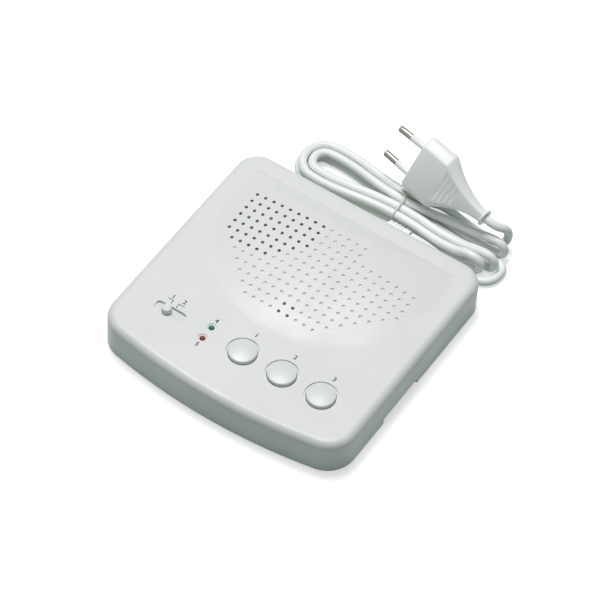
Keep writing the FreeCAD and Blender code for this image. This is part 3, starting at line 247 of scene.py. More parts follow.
# Light
KEY_LIGHT_AT = (-0.35, 0.3, 1.7)
KEY_LIGHT_SIZE = 0.7
KEY_LIGHT_POWER = 23.5
KEY_LIGHT_COLOUR = (1.0, 0.99, 1.0)
FLOOR_SIZE = 8.0
FLOOR_UNSEEN = (0.33, 0.45, 0.385, 1.0)
FLOOR_SEEN = (0.8, 0.8, 0.8, 1.0)
FLOOR_GLOW = 0.55
ROOM_COLOUR = (0.9, 1.0, 0.95, 1.0)
ROOM_UNSEEN = 0.2
ROOM_SEEN = 0.8

# Camera
CAMERA_AT = (0.5901, -0.9736, 1.5004)
CAMERA_RIGHT = (0.8301, 0.5562, 0.0386)
CAMERA_UP = (-0.4608, 0.6454, 0.6092)
CAMERA_BACK = (0.314, -0.5235, 0.792)
CAMERA_LENS = 210.0
CAMERA_SENSOR = 36.0


def srgb(*levels):
    """Colour levels of 0 to 255 as the linear values that shaders use."""
    out = []
    for level in levels:
        c = level / 255
        out.append(c / 12.92 if c <= 0.04045 else ((c + 0.055) / 1.055) ** 2.4)
    return tuple(out)


def length(name, description, default):
    """A length that a user can change, in metres."""
    return bpy.props.FloatProperty(
        name=name, description=description, default=default, unit="LENGTH"
    )


def tone(name, description, *levels):
    """A colour that a user can change, from levels of 0 to 255."""
    return bpy.props.FloatVectorProperty(
        name=name, description=description, subtype="COLOR", default=srgb(*levels), min=0, max=1
    )


class StationSizes(bpy.types.PropertyGroup):
    """Sizes of the shown pieces that a user would change."""

    hole_width: length("Hole Width", "Width of each sound hole", 0.00196)
    dimple_width: length("Dimple Width", "Width of each blind dimple", 0.00206)
    dimple_depth: length("Dimple Depth", "Depth of each blind dimple", 0.00098)
    mark_height: length("Mark Height", "Height of the printed numbers", 0.0028)
    mark_relief: length("Mark Relief", "How far the print stands proud", 0.00003)
    cord_diameter: length("Cord Diameter", "Thickness of the mains lead", 0.005)
    cord_length: length("Cord Length", "Length of the mains lead", 1.13)


class StationColours(bpy.types.PropertyGroup):
    """Colours of the finishes that a user would change."""

    cover: tone("Cover", "Pale moulded plastic of the cover", 226, 227, 226)
    key: tone("Keys", "Satin plastic of the keys", 226, 228, 227)
    base: tone("Base", "Plastic of the floor plate", 206, 208, 204)
    cord: tone("Cord", "Cover of the mains lead", 246, 248, 246)
    plug: tone("Plug", "Moulding of the plug", 246, 247, 245)
    print_ink: tone("Print", "Ink of the numbers and ticks", 62, 74, 70)
    green_lens: tone("Green Lens", "Lens of the green lamp", 38, 92, 62)
    red_lens: tone("Red Lens", "Lens of the red lamp", 112, 36, 36)


# Selecting and editing


def clear_selection():
    """Leaves edit mode and deselects everything."""
    if bpy.context.object and bpy.context.object.mode != "OBJECT":
        bpy.ops.object.mode_set(mode="OBJECT")
    for obj in list(bpy.context.selected_objects):
        obj.select_set(False)


def make_active(obj):
    """Selects one object alone and makes it the active one."""
    clear_selection()
    obj.select_set(True)
    bpy.context.view_layer.objects.active = obj


def pick_faces(obj, test):
    """Leaves obj in edit mode with the faces selected whose centre and normal pass test."""
    make_active(obj)
    bpy.ops.object.mode_set(mode="EDIT")
    bpy.ops.mesh.select_mode(type="FACE")
    bpy.ops.mesh.select_all(action="DESELECT")
    bpy.ops.object.mode_set(mode="OBJECT")
    for face in obj.data.polygons:
        face.select = test(face.center, face.normal)
    bpy.ops.object.mode_set(mode="EDIT")


def new_piece(name):
    """Names the primitive that was just added and gives it a clean start."""
    piece = bpy.context.object
    piece.name = name
    piece.data.name = name
    piece.data.materials.clear()
    return piece


def apply_place():
    """Writes the active piece's place, turn and scale into its mesh."""
    bpy.ops.object.transform_apply(location=True, rotation=True, scale=True)


def face_outwards():
    """Turns every face of the piece in edit mode outwards and leaves edit mode."""
    bpy.ops.mesh.select_all(action="SELECT")
    bpy.ops.mesh.normals_make_consistent(inside=False)
    bpy.ops.object.mode_set(mode="OBJECT")


def turned(name, profile, sides, at=(0.0, 0.0)):
    """A piece turned about the vertical: a disc extruded and resized along the profile.

    profile holds (radius, height) in millimetres from the bottom face to the top one."""
    clear_selection()
    (r0, z0), rest = profile[0], profile[1:]
    centre = Vector((at[0] * MM, at[1] * MM, z0 * MM))
    bpy.ops.mesh.primitive_circle_add(
        vertices=sides, radius=r0 * MM, fill_type="NGON", location=centre
    )
    piece = new_piece(name)
    apply_place()
    bpy.ops.object.mode_set(mode="EDIT")
    bpy.ops.mesh.select_all(action="SELECT")
    for r, z in rest:
        bpy.ops.mesh.extrude_region_move(TRANSFORM_OT_translate={"value": (0, 0, (z - z0) * MM)})
        centre.z = z * MM
        bpy.ops.transform.resize(value=(r / r0, r / r0, 1), center_override=centre)
        r0, z0 = r, z
    face_outwards()
    return piece


def smooth(piece, degrees=32.0):
    """Shades the piece smooth, apart from edges sharper than the angle."""
    make_active(piece)
    bpy.ops.object.shade_smooth_by_angle(angle=math.radians(degrees))


def apply_modifier(piece, modifier):
    """Applies one modifier to the piece's mesh."""
    make_active(piece)
    bpy.ops.object.modifier_apply(modifier=modifier.name)


def carve(piece, cutter, operation="DIFFERENCE"):
    """Cuts cutter out of piece, or joins it on, and removes it."""
    modifier = piece.modifiers.new("Carve", "BOOLEAN")
    modifier.operation = operation
    modifier.solver = "EXACT"
    modifier.object = cutter
    apply_modifier(piece, modifier)
    bpy.data.objects.remove(cutter)


def soften(piece, width, segments=2, degrees=30.0):
    """Rounds the piece's edges."""
    modifier = piece.modifiers.new("Rounding", "BEVEL")
    modifier.width = width * MM
    modifier.segments = segments
    modifier.limit_method = "ANGLE"
    modifier.angle_limit = math.radians(degrees)
    modifier.harden_normals = False
    apply_modifier(piece, modifier)


def place(piece, matrix):
    """Moves the piece and writes its place into its mesh."""
    piece.matrix_world = matrix
    make_active(piece)
    apply_place()


def joined(name, pieces):
    """Joins the pieces into one with the name."""
    clear_selection()
    for piece in pieces:
        piece.select_set(True)
    bpy.context.view_layer.objects.active = pieces[0]
    if len(pieces) > 1:
        bpy.ops.object.join()
    piece = bpy.context.object
    piece.name = name
    piece.data.name = name
    return piece


def copies(pattern, places):
    """Copies of a piece, each with its own mesh, moved by each of the places."""
    out = []
    for x, y, z in places:
        piece = pattern.copy()
        piece.data = pattern.data.copy()
        piece.location = (x, y, z)
        bpy.context.scene.collection.objects.link(piece)
        out.append(piece)
    bpy.data.objects.remove(pattern)
    return out


def as_mesh(piece):
    """Turns a curve or text into a mesh with its doubles merged."""
    make_active(piece)
    bpy.ops.object.convert(target="MESH")
    piece = bpy.context.object
    bpy.ops.object.mode_set(mode="EDIT")
    bpy.ops.mesh.select_all(action="SELECT")
    bpy.ops.mesh.remove_doubles(threshold=SAME_POINT)
    face_outwards()
    return piece


def finish_piece(piece, material, body=HOME_BODY, replaced=()):
    """Gives a piece its material and its body, and hides the nodes that it stands for."""
    piece.data.materials.clear()
    piece.data.materials.append(material)
    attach(piece, body)
    if replaced:
        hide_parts(*replaced)


def spline_curve(name, points, depth):
    """A round cord along one spline with the points as its control points."""
    data = bpy.data.curves.new(name, "CURVE")
    data.dimensions = "3D"
    data.bevel_depth = depth
    data.bevel_resolution = 6
    data.resolution_u = 8
    data.use_fill_caps = True
    spline = data.splines.new("NURBS")
    spline.points.add(len(points) - 1)
    for i, (x, y, z) in enumerate(points):
        spline.points[i].co = (x * MM, y * MM, z * MM, 1)
    spline.order_u = 3
    spline.use_endpoint_u = True
    curve = bpy.data.objects.new(name, data)
    bpy.context.scene.collection.objects.link(curve)
    return curve


# Shader node groups


def group_tree(name, inputs, outputs):
    """A new node group with its sockets, and its input and output nodes."""
    tree = bpy.data.node_groups.new(name, "ShaderNodeTree")
    for label, kind, default in inputs:
        socket = tree.interface.new_socket(label, in_out="INPUT", socket_type=kind)
        if default is not None:
            socket.default_value = default
    for label, kind in outputs:
        tree.interface.new_socket(label, in_out="OUTPUT", socket_type=kind)
    return tree, tree.nodes.new("NodeGroupInput"), tree.nodes.new("NodeGroupOutput")


def math_node(tree, operation, first, second):
    """The result of a Math node on two sockets or numbers."""
    node = tree.nodes.new("ShaderNodeMath")
    node.operation = operation
    for socket, value in zip(node.inputs, (first, second)):
        if isinstance(value, (int, float)):
            socket.default_value = value
        else:
            tree.links.new(value, socket)
    return node.outputs[0]


def moulded_grain():
    """Fine spark-worn grain of a moulding tool: a height and a speckle mask."""
    name = "Moulded Grain"
    if name in bpy.data.node_groups:
        return bpy.data.node_groups[name]
    tree, start, end = group_tree(
        name,
        [("Vector", "NodeSocketVector", None), ("Per Metre", "NodeSocketFloat", 2500.0)],
        [("Height", "NodeSocketFloat"), ("Speckle", "NodeSocketFloat")],
    )
    noise = tree.nodes.new("ShaderNodeTexNoise")
    noise.inputs["Detail"].default_value = 3.0
    noise.inputs["Roughness"].default_value = 0.6
    cells = tree.nodes.new("ShaderNodeTexVoronoi")
    cells.feature = "SMOOTH_F1"
    for node in (noise, cells):
        tree.links.new(start.outputs["Vector"], node.inputs["Vector"])
    tree.links.new(start.outputs["Per Metre"], noise.inputs["Scale"])
    cell_scale = math_node(tree, "MULTIPLY", start.outputs["Per Metre"], 0.7)
    tree.links.new(cell_scale, cells.inputs["Scale"])
    cell_height = math_node(tree, "MULTIPLY", cells.outputs[0], 0.6)
    height = math_node(tree, "ADD", noise.outputs[0], cell_height)
    tree.links.new(height, end.inputs["Height"])
    spread = tree.nodes.new("ShaderNodeMapRange")
    spread.inputs["From Min"].default_value = 0.35
    spread.inputs["From Max"].default_value = 0.65
    tree.links.new(noise.outputs[0], spread.inputs["Value"])
    tree.links.new(spread.outputs[0], end.inputs["Speckle"])
    return tree


def slow_patches():
    """Wide soft patches, as of handling and uneven gloss."""
    name = "Slow Patches"
    if name in bpy.data.node_groups:
        return bpy.data.node_groups[name]
    tree, start, end = group_tree(
        name,
        [("Vector", "NodeSocketVector", None), ("Per Metre", "NodeSocketFloat", 30.0)],
        [("Patches", "NodeSocketFloat")],
    )
    noise = tree.nodes.new("ShaderNodeTexNoise")
    noise.inputs["Detail"].default_value = 4.0
    noise.inputs["Roughness"].default_value = 0.55
    spread = tree.nodes.new("ShaderNodeMapRange")
    spread.interpolation_type = "SMOOTHSTEP"
    spread.inputs["From Min"].default_value = 0.35
    spread.inputs["From Max"].default_value = 0.68
    tree.links.new(start.outputs["Vector"], noise.inputs["Vector"])
    tree.links.new(start.outputs["Per Metre"], noise.inputs["Scale"])
    tree.links.new(noise.outputs[0], spread.inputs["Value"])
    tree.links.new(spread.outputs[0], end.inputs["Patches"])
    return tree


def round_spot():
    """A soft round spot about a place: 1 inside its radius and 0 outside."""
    name = "Round Spot"
    if name in bpy.data.node_groups:
        return bpy.data.node_groups[name]
    tree, start, end = group_tree(
        name,
        [
            ("Vector", "NodeSocketVector", None),
            ("Place", "NodeSocketVector", (0, 0, 0)),
            ("Radius", "NodeSocketFloat", 0.0027),
            ("Softness", "NodeSocketFloat", 0.0004),
        ],
        [("Mask", "NodeSocketFloat")],
    )
    far = tree.nodes.new("ShaderNodeVectorMath")
    far.operation = "DISTANCE"
    tree.links.new(start.outputs["Vector"], far.inputs[0])
    tree.links.new(start.outputs["Place"], far.inputs[1])
    inside = math_node(tree, "SUBTRACT", start.outputs["Radius"], far.outputs["Value"])
    share = math_node(tree, "DIVIDE", inside, start.outputs["Softness"])
    clamp = tree.nodes.new("ShaderNodeClamp")
    tree.links.new(share, clamp.inputs["Value"])
    tree.links.new(clamp.outputs[0], end.inputs["Mask"])
    return tree


# Materials


class Paint:
    """A node material under construction: a Principled shader with Object coordinates."""

    def __init__(self, name, colour, roughness):
        self.material = bpy.data.materials.new(name)
        self.material.use_nodes = True
        self.tree = self.material.node_tree
        self.shader = self.tree.nodes["Principled BSDF"]
        self.place = self.tree.nodes.new("ShaderNodeTexCoord").outputs["Object"]
        self.colour = None
        self.plain = tuple(colour)[:3] + (1.0,)
        self.rough = roughness
        self.shader.inputs["Roughness"].default_value = roughness
        self.shader.inputs["Base Color"].default_value = self.plain

    def group(self, tree, **values):
        """Places a node group on the Object coordinates with its own values."""
        node = self.tree.nodes.new("ShaderNodeGroup")
        node.node_tree = tree
        self.tree.links.new(self.place, node.inputs["Vector"])
        for label, value in values.items():
            node.inputs[label.replace("_", " ")].default_value = value
        return node

    def tint(self, mask, colour, amount=1.0):
        """Mixes a colour in where the mask says, over what is there already."""
        mix = self.tree.nodes.new("ShaderNodeMix")
        mix.data_type = "RGBA"
        factor = math_node(self.tree, "MULTIPLY", mask, amount)
        self.tree.links.new(factor, mix.inputs["Factor"])
        if self.colour is None:
            mix.inputs[6].default_value = self.plain
        else:
            self.tree.links.new(self.colour, mix.inputs[6])
        mix.inputs[7].default_value = tuple(colour)[:3] + (1.0,)
        self.colour = mix.outputs[2]
        self.tree.links.new(self.colour, self.shader.inputs["Base Color"])

    def vary_roughness(self, mask, spread):
        """Moves the roughness up and down by the spread where the mask says."""
        node = self.tree.nodes.new("ShaderNodeMapRange")
        node.inputs["To Min"].default_value = max(0.02, self.rough - spread)
        node.inputs["To Max"].default_value = min(1.0, self.rough + spread)
        self.tree.links.new(mask, node.inputs["Value"])
        self.tree.links.new(node.outputs[0], self.shader.inputs["Roughness"])

    def bump(self, height, distance, strength=0.3):
        """Raises the surface's normal by a height, the distance in metres."""
        node = self.tree.nodes.new("ShaderNodeBump")
        node.inputs["Strength"].default_value = strength
        node.inputs["Distance"].default_value = distance
        self.tree.links.new(height, node.inputs["Height"])
        self.tree.links.new(node.outputs[0], self.shader.inputs["Normal"])


def darker(colour, share):
    """The colour times a share; a share over 1 makes it paler."""
    return tuple(c * share for c in tuple(colour)[:3])


def moulded_plastic(name, colour, roughness=0.45, grain=2400.0, depth=0.00003, patches=0.10):
    """Moulded plastic with tool grain, uneven gloss and faint tone patches."""
    paint = Paint(name, colour, roughness)
    grained = paint.group(moulded_grain(), Per_Metre=grain)
    wide = paint.group(slow_patches(), Per_Metre=28.0)
    paint.tint(wide.outputs["Patches"], darker(colour, 0.93), patches * 4)
    paint.tint(grained.outputs["Speckle"], darker(colour, 0.90), 0.18)
    paint.vary_roughness(wide.outputs["Patches"], 0.05)
    paint.bump(grained.outputs["Height"], depth)
    return paint


def plated_metal(name, colour, roughness=0.3, grain=900.0):
    """Plated or turned metal with fine grain and dull patches."""
    paint = Paint(name, colour, roughness)
    paint.shader.inputs["Metallic"].default_value = 1.0
    grained = paint.group(moulded_grain(), Per_Metre=grain)
    wide = paint.group(slow_patches(), Per_Metre=160.0)
    paint.tint(wide.outputs["Patches"], darker(colour, 0.7), 0.5)
    paint.vary_roughness(wide.outputs["Patches"], 0.12)
    paint.bump(grained.outputs["Height"], 0.00001)
    return paint


def cover_plastic(colours):
    """The cover's plastic, with the faint colour that each lamp throws on its ring."""
    paint = moulded_plastic("cover plastic", colours.cover, roughness=0.42)
    glows = {"green": srgb(200, 227, 213), "red": srgb(238, 206, 202)}
    for name, y in LAMPS:
        place_on_cover = (LAMP_X * MM, y * MM, COVER_TOP * MM)
        spot = paint.group(
            round_spot(), Place=place_on_cover, Radius=GLOW_RADIUS * MM, Softness=GLOW_SOFTNESS * MM
        )
        paint.tint(spot.outputs["Mask"], glows[name], 0.85)
    return paint.material


def cord_plastic(colours):
    """Soft cord cover: satin, with small faint patches of tone."""
    paint = moulded_plastic("cord cover", colours.cord, roughness=0.38, grain=1800.0, patches=0.05)
    waves = paint.group(slow_patches(), Per_Metre=240.0)
    paint.tint(waves.outputs["Patches"], darker(colours.cord, 0.94), 0.35)
    return paint.material


def lens(name, colour):
    """Tinted lamp lens: glossy, partly clear, with paler patches."""
    paint = Paint(name, colour, 0.12)
    wide = paint.group(slow_patches(), Per_Metre=700.0)
    paint.tint(wide.outputs["Patches"], darker(colour, 1.7), 0.5)
    paint.vary_roughness(wide.outputs["Patches"], 0.05)
    paint.shader.inputs["Transmission Weight"].default_value = 0.25
    paint.shader.inputs["IOR"].default_value = 1.5
    paint.shader.inputs["Coat Weight"].default_value = 0.6
    return paint.material


def board_laminate():
    """Green-lacquered laminate with pale copper tracks under the lacquer."""
    base = srgb(52, 92, 58)
    paint = Paint("board laminate", base, 0.35)
    tracks = paint.tree.nodes.new("ShaderNodeTexBrick")
    tracks.inputs["Scale"].default_value = 160.0
    tracks.inputs["Mortar Size"].default_value = 0.06
    tracks.inputs["Color1"].default_value = (0, 0, 0, 1)
    tracks.inputs["Color2"].default_value = (0, 0, 0, 1)
    tracks.inputs["Mortar"].default_value = (1, 1, 1, 1)
    paint.tree.links.new(paint.place, tracks.inputs["Vector"])
    paint.tint(tracks.outputs["Color"], srgb(120, 150, 90), 0.8)
    wide = paint.group(slow_patches(), Per_Metre=60.0)
    paint.vary_roughness(wide.outputs["Patches"], 0.1)
    paint.bump(tracks.outputs["Color"], 0.00003)
    return paint.material


def finishes():
    """Every finish by the record's slot name; made once and shared by the operators."""
    if bpy.data.materials.get("cover plastic"):
        return {m["slot"]: m for m in bpy.data.materials if "slot" in m}
    colours = bpy.context.scene.station_colours
    made = {
        "cover": cover_plastic(colours),
        "cord": cord_plastic(colours),
        "board": board_laminate(),
        "green_lens": lens("green lens", colours.green_lens),
        "red_lens": lens("red lens", colours.red_lens),
    }
    plastics = (
        ("key", "key plastic", colours.key, 0.34, 3200, 0.00002),
        ("base", "base plastic", colours.base, 0.55, 1500, 0.00005),
        ("wheel", "wheel plastic", colours.cover, 0.5, 2400, 0.00003),
        ("plug", "plug plastic", colours.plug, 0.4, 2000, 0.00003),
        ("sleeve", "sleeve plastic", colours.plug, 0.36, 2400, 0.00003),
        ("ink", "printing ink", colours.print_ink, 0.6, 5000, 0.00003),
        ("tie", "tie cover", srgb(222, 224, 220), 0.35, 4000, 0.00003),
        ("clamp", "clamp plastic", srgb(206, 206, 200), 0.5, 2400, 0.00003),
        ("foot_rubber", "foot rubber", srgb(62, 62, 62), 0.8, 1200, 0.00003),
        ("black_plastic", "black plastic", srgb(34, 34, 34), 0.5, 2400, 0.00003),
        ("cone_film", "cone film", srgb(40, 42, 42), 0.6, 900, 0.0001),
        ("coil_tape", "coil tape", srgb(196, 168, 80), 0.35, 700, 0.00003),
        ("fuse_glass", "fuse ceramic", srgb(216, 214, 204), 0.25, 2400, 0.00003),
        ("terminal", "terminal plastic", srgb(52, 110, 78), 0.45, 2400, 0.00003),
        ("wire_cover", "wire cover", srgb(54, 84, 160), 0.4, 2400, 0.00003),
    )
    for slot, name, colour, roughness, grain, depth in plastics:
        made[slot] = moulded_plastic(name, colour, roughness, grain, depth).material
    metals = (
        ("screw_steel", "screw steel", srgb(176, 178, 176), 0.35, 900),
        ("speaker_steel", "speaker steel", srgb(160, 160, 158), 0.4, 900),
        ("part_can", "part can", srgb(150, 154, 160), 0.3, 900),
        ("pin", "pin nickel", srgb(150, 149, 144), 0.14, 1500),
    )
    for slot, name, colour, roughness, grain in metals:
        made[slot] = plated_metal(name, colour, roughness, grain).material
    for slot, material in made.items():
        material["slot"] = slot
    return made


# Operators


class PieceOperator(bpy.types.Operator):
    """Common ground of the piece operators."""

    bl_options = {"REGISTER", "UNDO"}

    def execute(self, context):
        self.build(context.scene.station_sizes, finishes())
        clear_selection()
        return {"FINISHED"}


def lattice_places():
    """Lattice places as (x, y, height of the skin, open or not), in millimetres."""
    out = []
    for row, (first, last) in enumerate(LATTICE_ROWS):
        for column in range(first, last + 1):
            x = LATTICE_X + column * LATTICE_PITCH
            y = LATTICE_Y - row * LATTICE_PITCH
            far = math.hypot(x, y - DOME_Y)
            cap = COVER_TOP + DOME_RISE - DOME_RADIUS + math.sqrt(DOME_RADIUS ** 2 - far ** 2)
            low, high = OPEN_COLUMNS.get(row, (1, 0))
            is_open = low <= column <= high or (row, column) in MICROPHONE_PLACES
            out.append((x, y, max(COVER_TOP, cap), is_open))
    return out


def block(x_range, y_range, z_range):
    """A box between the given limits, in millimetres."""
    clear_selection()
    ranges = (x_range, y_range, z_range)
    middle = [(low + high) / 2 * MM for low, high in ranges]
    bpy.ops.mesh.primitive_cube_add(size=1, location=middle)
    piece = new_piece("block")
    piece.scale = [(high - low) * MM for low, high in ranges]
    apply_place()
    return piece


def rounded_prism(x_range, y_range, z_range, corner):
    """A box whose upright edges are rounded."""
    piece = block(x_range, y_range, z_range)
    modifier = piece.modifiers.new("Corners", "BEVEL")
    modifier.width = corner * MM
    modifier.segments = 6
    modifier.limit_method = "WEIGHT"
    weights = piece.data.attributes.new("bevel_weight_edge", "FLOAT", "EDGE")
    for edge, weight in zip(piece.data.edges, weights.data):
        a, b = (piece.data.vertices[i].co for i in edge.vertices)
        weight.value = 1.0 if abs(a.z - b.z) > SAME_POINT else 0.0
    apply_modifier(piece, modifier)
    return piece


def is_plain(centre, normal):
    """Whether a face is the cover's flat top or the slide recess's sloping floor."""
    x, y = centre.x / MM, centre.y / MM
    inside = RECESS_X[0] < x < RECESS_X[1] and RECESS_FRONT < y < RECESS_REAR
    tilted = normal.z > FLOOR_TILT[0] and normal.y < FLOOR_TILT[1]
    return normal.z > LEVEL or inside and tilted


def slide_recess(cover):
    """Closes the solid's plain scoop and cuts the slide's recess in its place."""
    patch = block(OLD_SCOOP_X, OLD_SCOOP_Y, (SKIN_UNDER, COVER_TOP - PATCH_SUNK))
    carve(cover, patch, "UNION")
    tilt = math.atan2(RECESS_DEEP, RECESS_LENGTH)
    hollow = rounded_prism(RECESS_X, (RECESS_FRONT, RECESS_REAR), (0, RECESS_HEIGHT), RECESS_CORNER)
    foot = Vector((0, RECESS_REAR * MM, 0))
    lift = Vector((0, 0, (COVER_TOP - RECESS_DEEP) * MM))
    turn = Matrix.Rotation(-tilt, 4, "X")
    place(hollow, Matrix.Translation(foot + lift) @ turn @ Matrix.Translation(-foot))
    carve(cover, hollow)
    low, high = GAP_HEIGHTS
    x0, x1 = RECESS_X[0] + GAP_INSET, RECESS_X[1] - GAP_INSET
    gap = rounded_prism((x0, x1), (GAP_FRONT, RECESS_REAR - GAP_INSET), GAP_HEIGHTS, GAP_CORNER)
    inner_x = (x0 + RECESS_GAP, x1 - RECESS_GAP)
    inner_y = (RECESS_FRONT - 2, RECESS_REAR - RECESS_GAP)
    carve(gap, rounded_prism(inner_x, inner_y, (low - 1, high + 1), GAP_INNER_CORNER))
    carve(cover, gap)


class STATION_OT_cover(PieceOperator):
    """Cover with its sound holes, blind dimples, key rings and slide recess"""

    bl_idname = "station.cover"
    bl_label = "Cover"

    def build(self, sizes, paints):
        make_active(frame["nodes"]["top_cover"])
        bpy.ops.object.duplicate()
        cover = bpy.context.object
        cover.name = "cover_shell"
        cover.data.name = "cover_shell"
        cover.parent = None
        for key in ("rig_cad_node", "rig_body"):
            del cover[key]
        bpy.ops.object.mode_set(mode="EDIT")
        bpy.ops.mesh.select_all(action="SELECT")
        bpy.ops.mesh.remove_doubles(threshold=SAME_POINT)
        bpy.ops.object.mode_set(mode="OBJECT")
        cutters = self.bowls(sizes) + self.drills(sizes) + self.rings()
        carve(cover, joined("cover_cutter", cutters))
        slide_recess(cover)
        smooth(cover, 20.0)
        pick_faces(cover, is_plain)
        bpy.ops.mesh.faces_shade_flat()
        bpy.ops.object.mode_set(mode="OBJECT")
        weighted = cover.modifiers.new("Even shading", "WEIGHTED_NORMAL")
        weighted.keep_sharp = True
        apply_modifier(cover, weighted)
        finish_piece(cover, paints["cover"], replaced=["top_cover"])

    def bowls(self, sizes):
        """Spheres that cut the blind dimples."""
        clear_selection()
        width, depth = sizes.dimple_width, sizes.dimple_depth
        radius = (width ** 2 / 4 + depth ** 2) / (2 * depth)
        bpy.ops.mesh.primitive_uv_sphere_add(segments=16, ring_count=10, radius=radius)
        lift = radius - depth
        return copies(bpy.context.object, [
            (x * MM, y * MM, z * MM + lift)
            for x, y, z, is_open in lattice_places() if not is_open
        ])

    def drills(self, sizes):
        """Cylinders that cut the sound holes."""
        clear_selection()
        bpy.ops.mesh.primitive_cylinder_add(
            vertices=20, radius=sizes.hole_width / 2, depth=DRILL_LENGTH * MM
        )
        return copies(bpy.context.object, [
            (x * MM, y * MM, z * MM) for x, y, z, is_open in lattice_places() if is_open
        ])

    def rings(self):
        """Discs that cut the shallow ring round each key."""
        discs = []
        for name, x in KEYS:
            clear_selection()
            bpy.ops.mesh.primitive_cylinder_add(
                vertices=96, radius=KEY_RING_RADIUS * MM, depth=4 * MM,
                location=(x * MM, KEY_Y * MM, (KEY_RING_FLOOR + 2) * MM),
            )
            apply_place()
            discs.append(bpy.context.object)
        return discs


class STATION_OT_keys(PieceOperator):
    """Three crowned press keys on their stems"""

    bl_idname = "station.keys"
    bl_label = "Keys"

    def build(self, sizes, paints):
        edge, rim = KEY_SECTION[-1]
        profile = list(KEY_SECTION)
        for share in KEY_CROWN_SHARES:
            profile.append((edge * share, rim + KEY_CROWN * (1 - share ** 2)))
        for name, x in KEYS:
            key = turned(name + "_cap", profile, 72, (x, KEY_Y))
            smooth(key)
            finish_piece(key, paints["key"], name + "_key", [name + "_button"])


class STATION_OT_slide(PieceOperator):
    """Round knob of the channel slide"""

    bl_idname = "station.slide"
    bl_label = "Channel Knob"

    def build(self, sizes, paints):
        x, y = KNOB_PLACE
        across = (x - ARM_HALF, x + ARM_HALF)
        gap_y = [RECESS_REAR - inset for inset in ARM_FROM_REAR]
        knob = turned("slide_knob", KNOB_SECTION, 56, KNOB_PLACE)
        for y_range, z_range in (
            ((y + ARM_START, gap_y[1]), ARM_TOP),
            (gap_y, (ARM_LOW[0], ARM_TOP[1])),
            ((STEM_Y - STEM_BACK, gap_y[1]), ARM_LOW),
        ):
            carve(knob, block(across, y_range, z_range), "UNION")
        carve(knob, turned("stem", STEM_SECTION, 24, (x, STEM_Y)), "UNION")
        smooth(knob)
        finish_piece(knob, paints["key"], "channel_slider", ["channel_knob"])


class STATION_OT_lamps(PieceOperator):
    """Domed lenses of the two lamps"""

    bl_idname = "station.lamps"
    bl_label = "Lamps"

    def build(self, sizes, paints):
        collar, low, shoulder = LAMP_COLLAR
        r = LAMP_RADIUS
        profile = [(collar, low), (collar, shoulder), (r, shoulder)]
        for step in range(LAMP_DOME_STEPS):
            angle = math.radians(step * LAMP_DOME_TURN)
            profile.append((r * math.cos(angle), LAMP_TOP - r + r * math.sin(angle)))
        for name, y in LAMPS:
            lamp = turned(name + "_lens", profile, 40, (LAMP_X, y))
            smooth(lamp, 45.0)
            finish_piece(lamp, paints[name + "_lens"], replaced=[name + "_lamp"])


def number_mark(text, x, y, height, relief):
    """A printed number centred on x, y on the cover's flat front area."""
    clear_selection()
    bpy.ops.object.text_add(location=(x * MM, y * MM, COVER_TOP * MM))
    mark = bpy.context.object
    mark.data.body = text
    mark.data.size = height * LETTER_SIZE
    mark.data.align_x = "CENTER"
    mark.data.align_y = "CENTER"
    mark.data.extrude = relief
    mark.data.offset = height * LETTER_WEIGHT
    mark = as_mesh(mark)
    make_active(mark)
    apply_place()
    return mark


def tick_mark(corner, first, second, width, relief):
    """An L-shaped tick from its corner: two legs extruded from one small square."""
    clear_selection()
    centre = Vector((corner[0] * MM, corner[1] * MM, COVER_TOP * MM))
    bpy.ops.mesh.primitive_plane_add(size=1, location=centre)
    tick = bpy.context.object
    tick.scale = (width, width, 1)
    apply_place()
    for leg in (first, second):
        way = Vector((leg[0], leg[1], 0)) * MM
        bpy.ops.object.mode_set(mode="EDIT")
        bpy.ops.mesh.select_mode(type="EDGE")
        bpy.ops.mesh.select_all(action="DESELECT")
        bpy.ops.object.mode_set(mode="OBJECT")
        points = [v.co for v in tick.data.vertices]
        for edge in tick.data.edges:
            middle = (points[edge.vertices[0]] + points[edge.vertices[1]]) / 2 - centre
            edge.select = middle.length < width and middle.normalized().dot(way.normalized()) > 0.9
        bpy.ops.object.mode_set(mode="EDIT")
        bpy.ops.mesh.extrude_region_move(TRANSFORM_OT_translate={"value": way})
        bpy.ops.object.mode_set(mode="OBJECT")
    bpy.ops.object.mode_set(mode="EDIT")
    bpy.ops.mesh.select_all(action="SELECT")
    bpy.ops.mesh.extrude_region_move(TRANSFORM_OT_translate={"value": (0, 0, relief)})
    face_outwards()
    return tick


class STATION_OT_marks(PieceOperator):
    """Printed numbers and ticks beside the controls"""

    bl_idname = "station.marks"
    bl_label = "Printed Marks"

    def build(self, sizes, paints):
        height, relief = sizes.mark_height, sizes.mark_relief
        marks = [number_mark(text, x, y, height, relief) for text, x, y in NUMBERS]
        for corner, first, second in TICKS:
            marks.append(tick_mark(corner, first, second, TICK_WIDTH * MM, relief))
        piece = joined("printed_marks", marks)
        finish_piece(piece, paints["ink"])


def turn_angles(start, sweep):
    """Middles of the equal steps of a turn, in radians."""
    steps = round(abs(sweep) / TURN_STEP)
    return [math.radians(start + sweep * (i + 0.5) / steps) for i in range(steps)]


def left_loop(row, layer):
    """Points round the open left end, from the row's side to the other one."""
    r = LEFT_RADII[row in INNER_ROWS] / math.cos(math.radians(TURN_STEP / 2))
    start, sweep = (90, 180) if row > 2 else (270, -180)
    return [
        (LEFT_X[layer] + r * math.cos(a), LEFT_Y + r * math.sin(a), LAYER_Z[layer])
        for a in turn_angles(start, sweep)
    ]


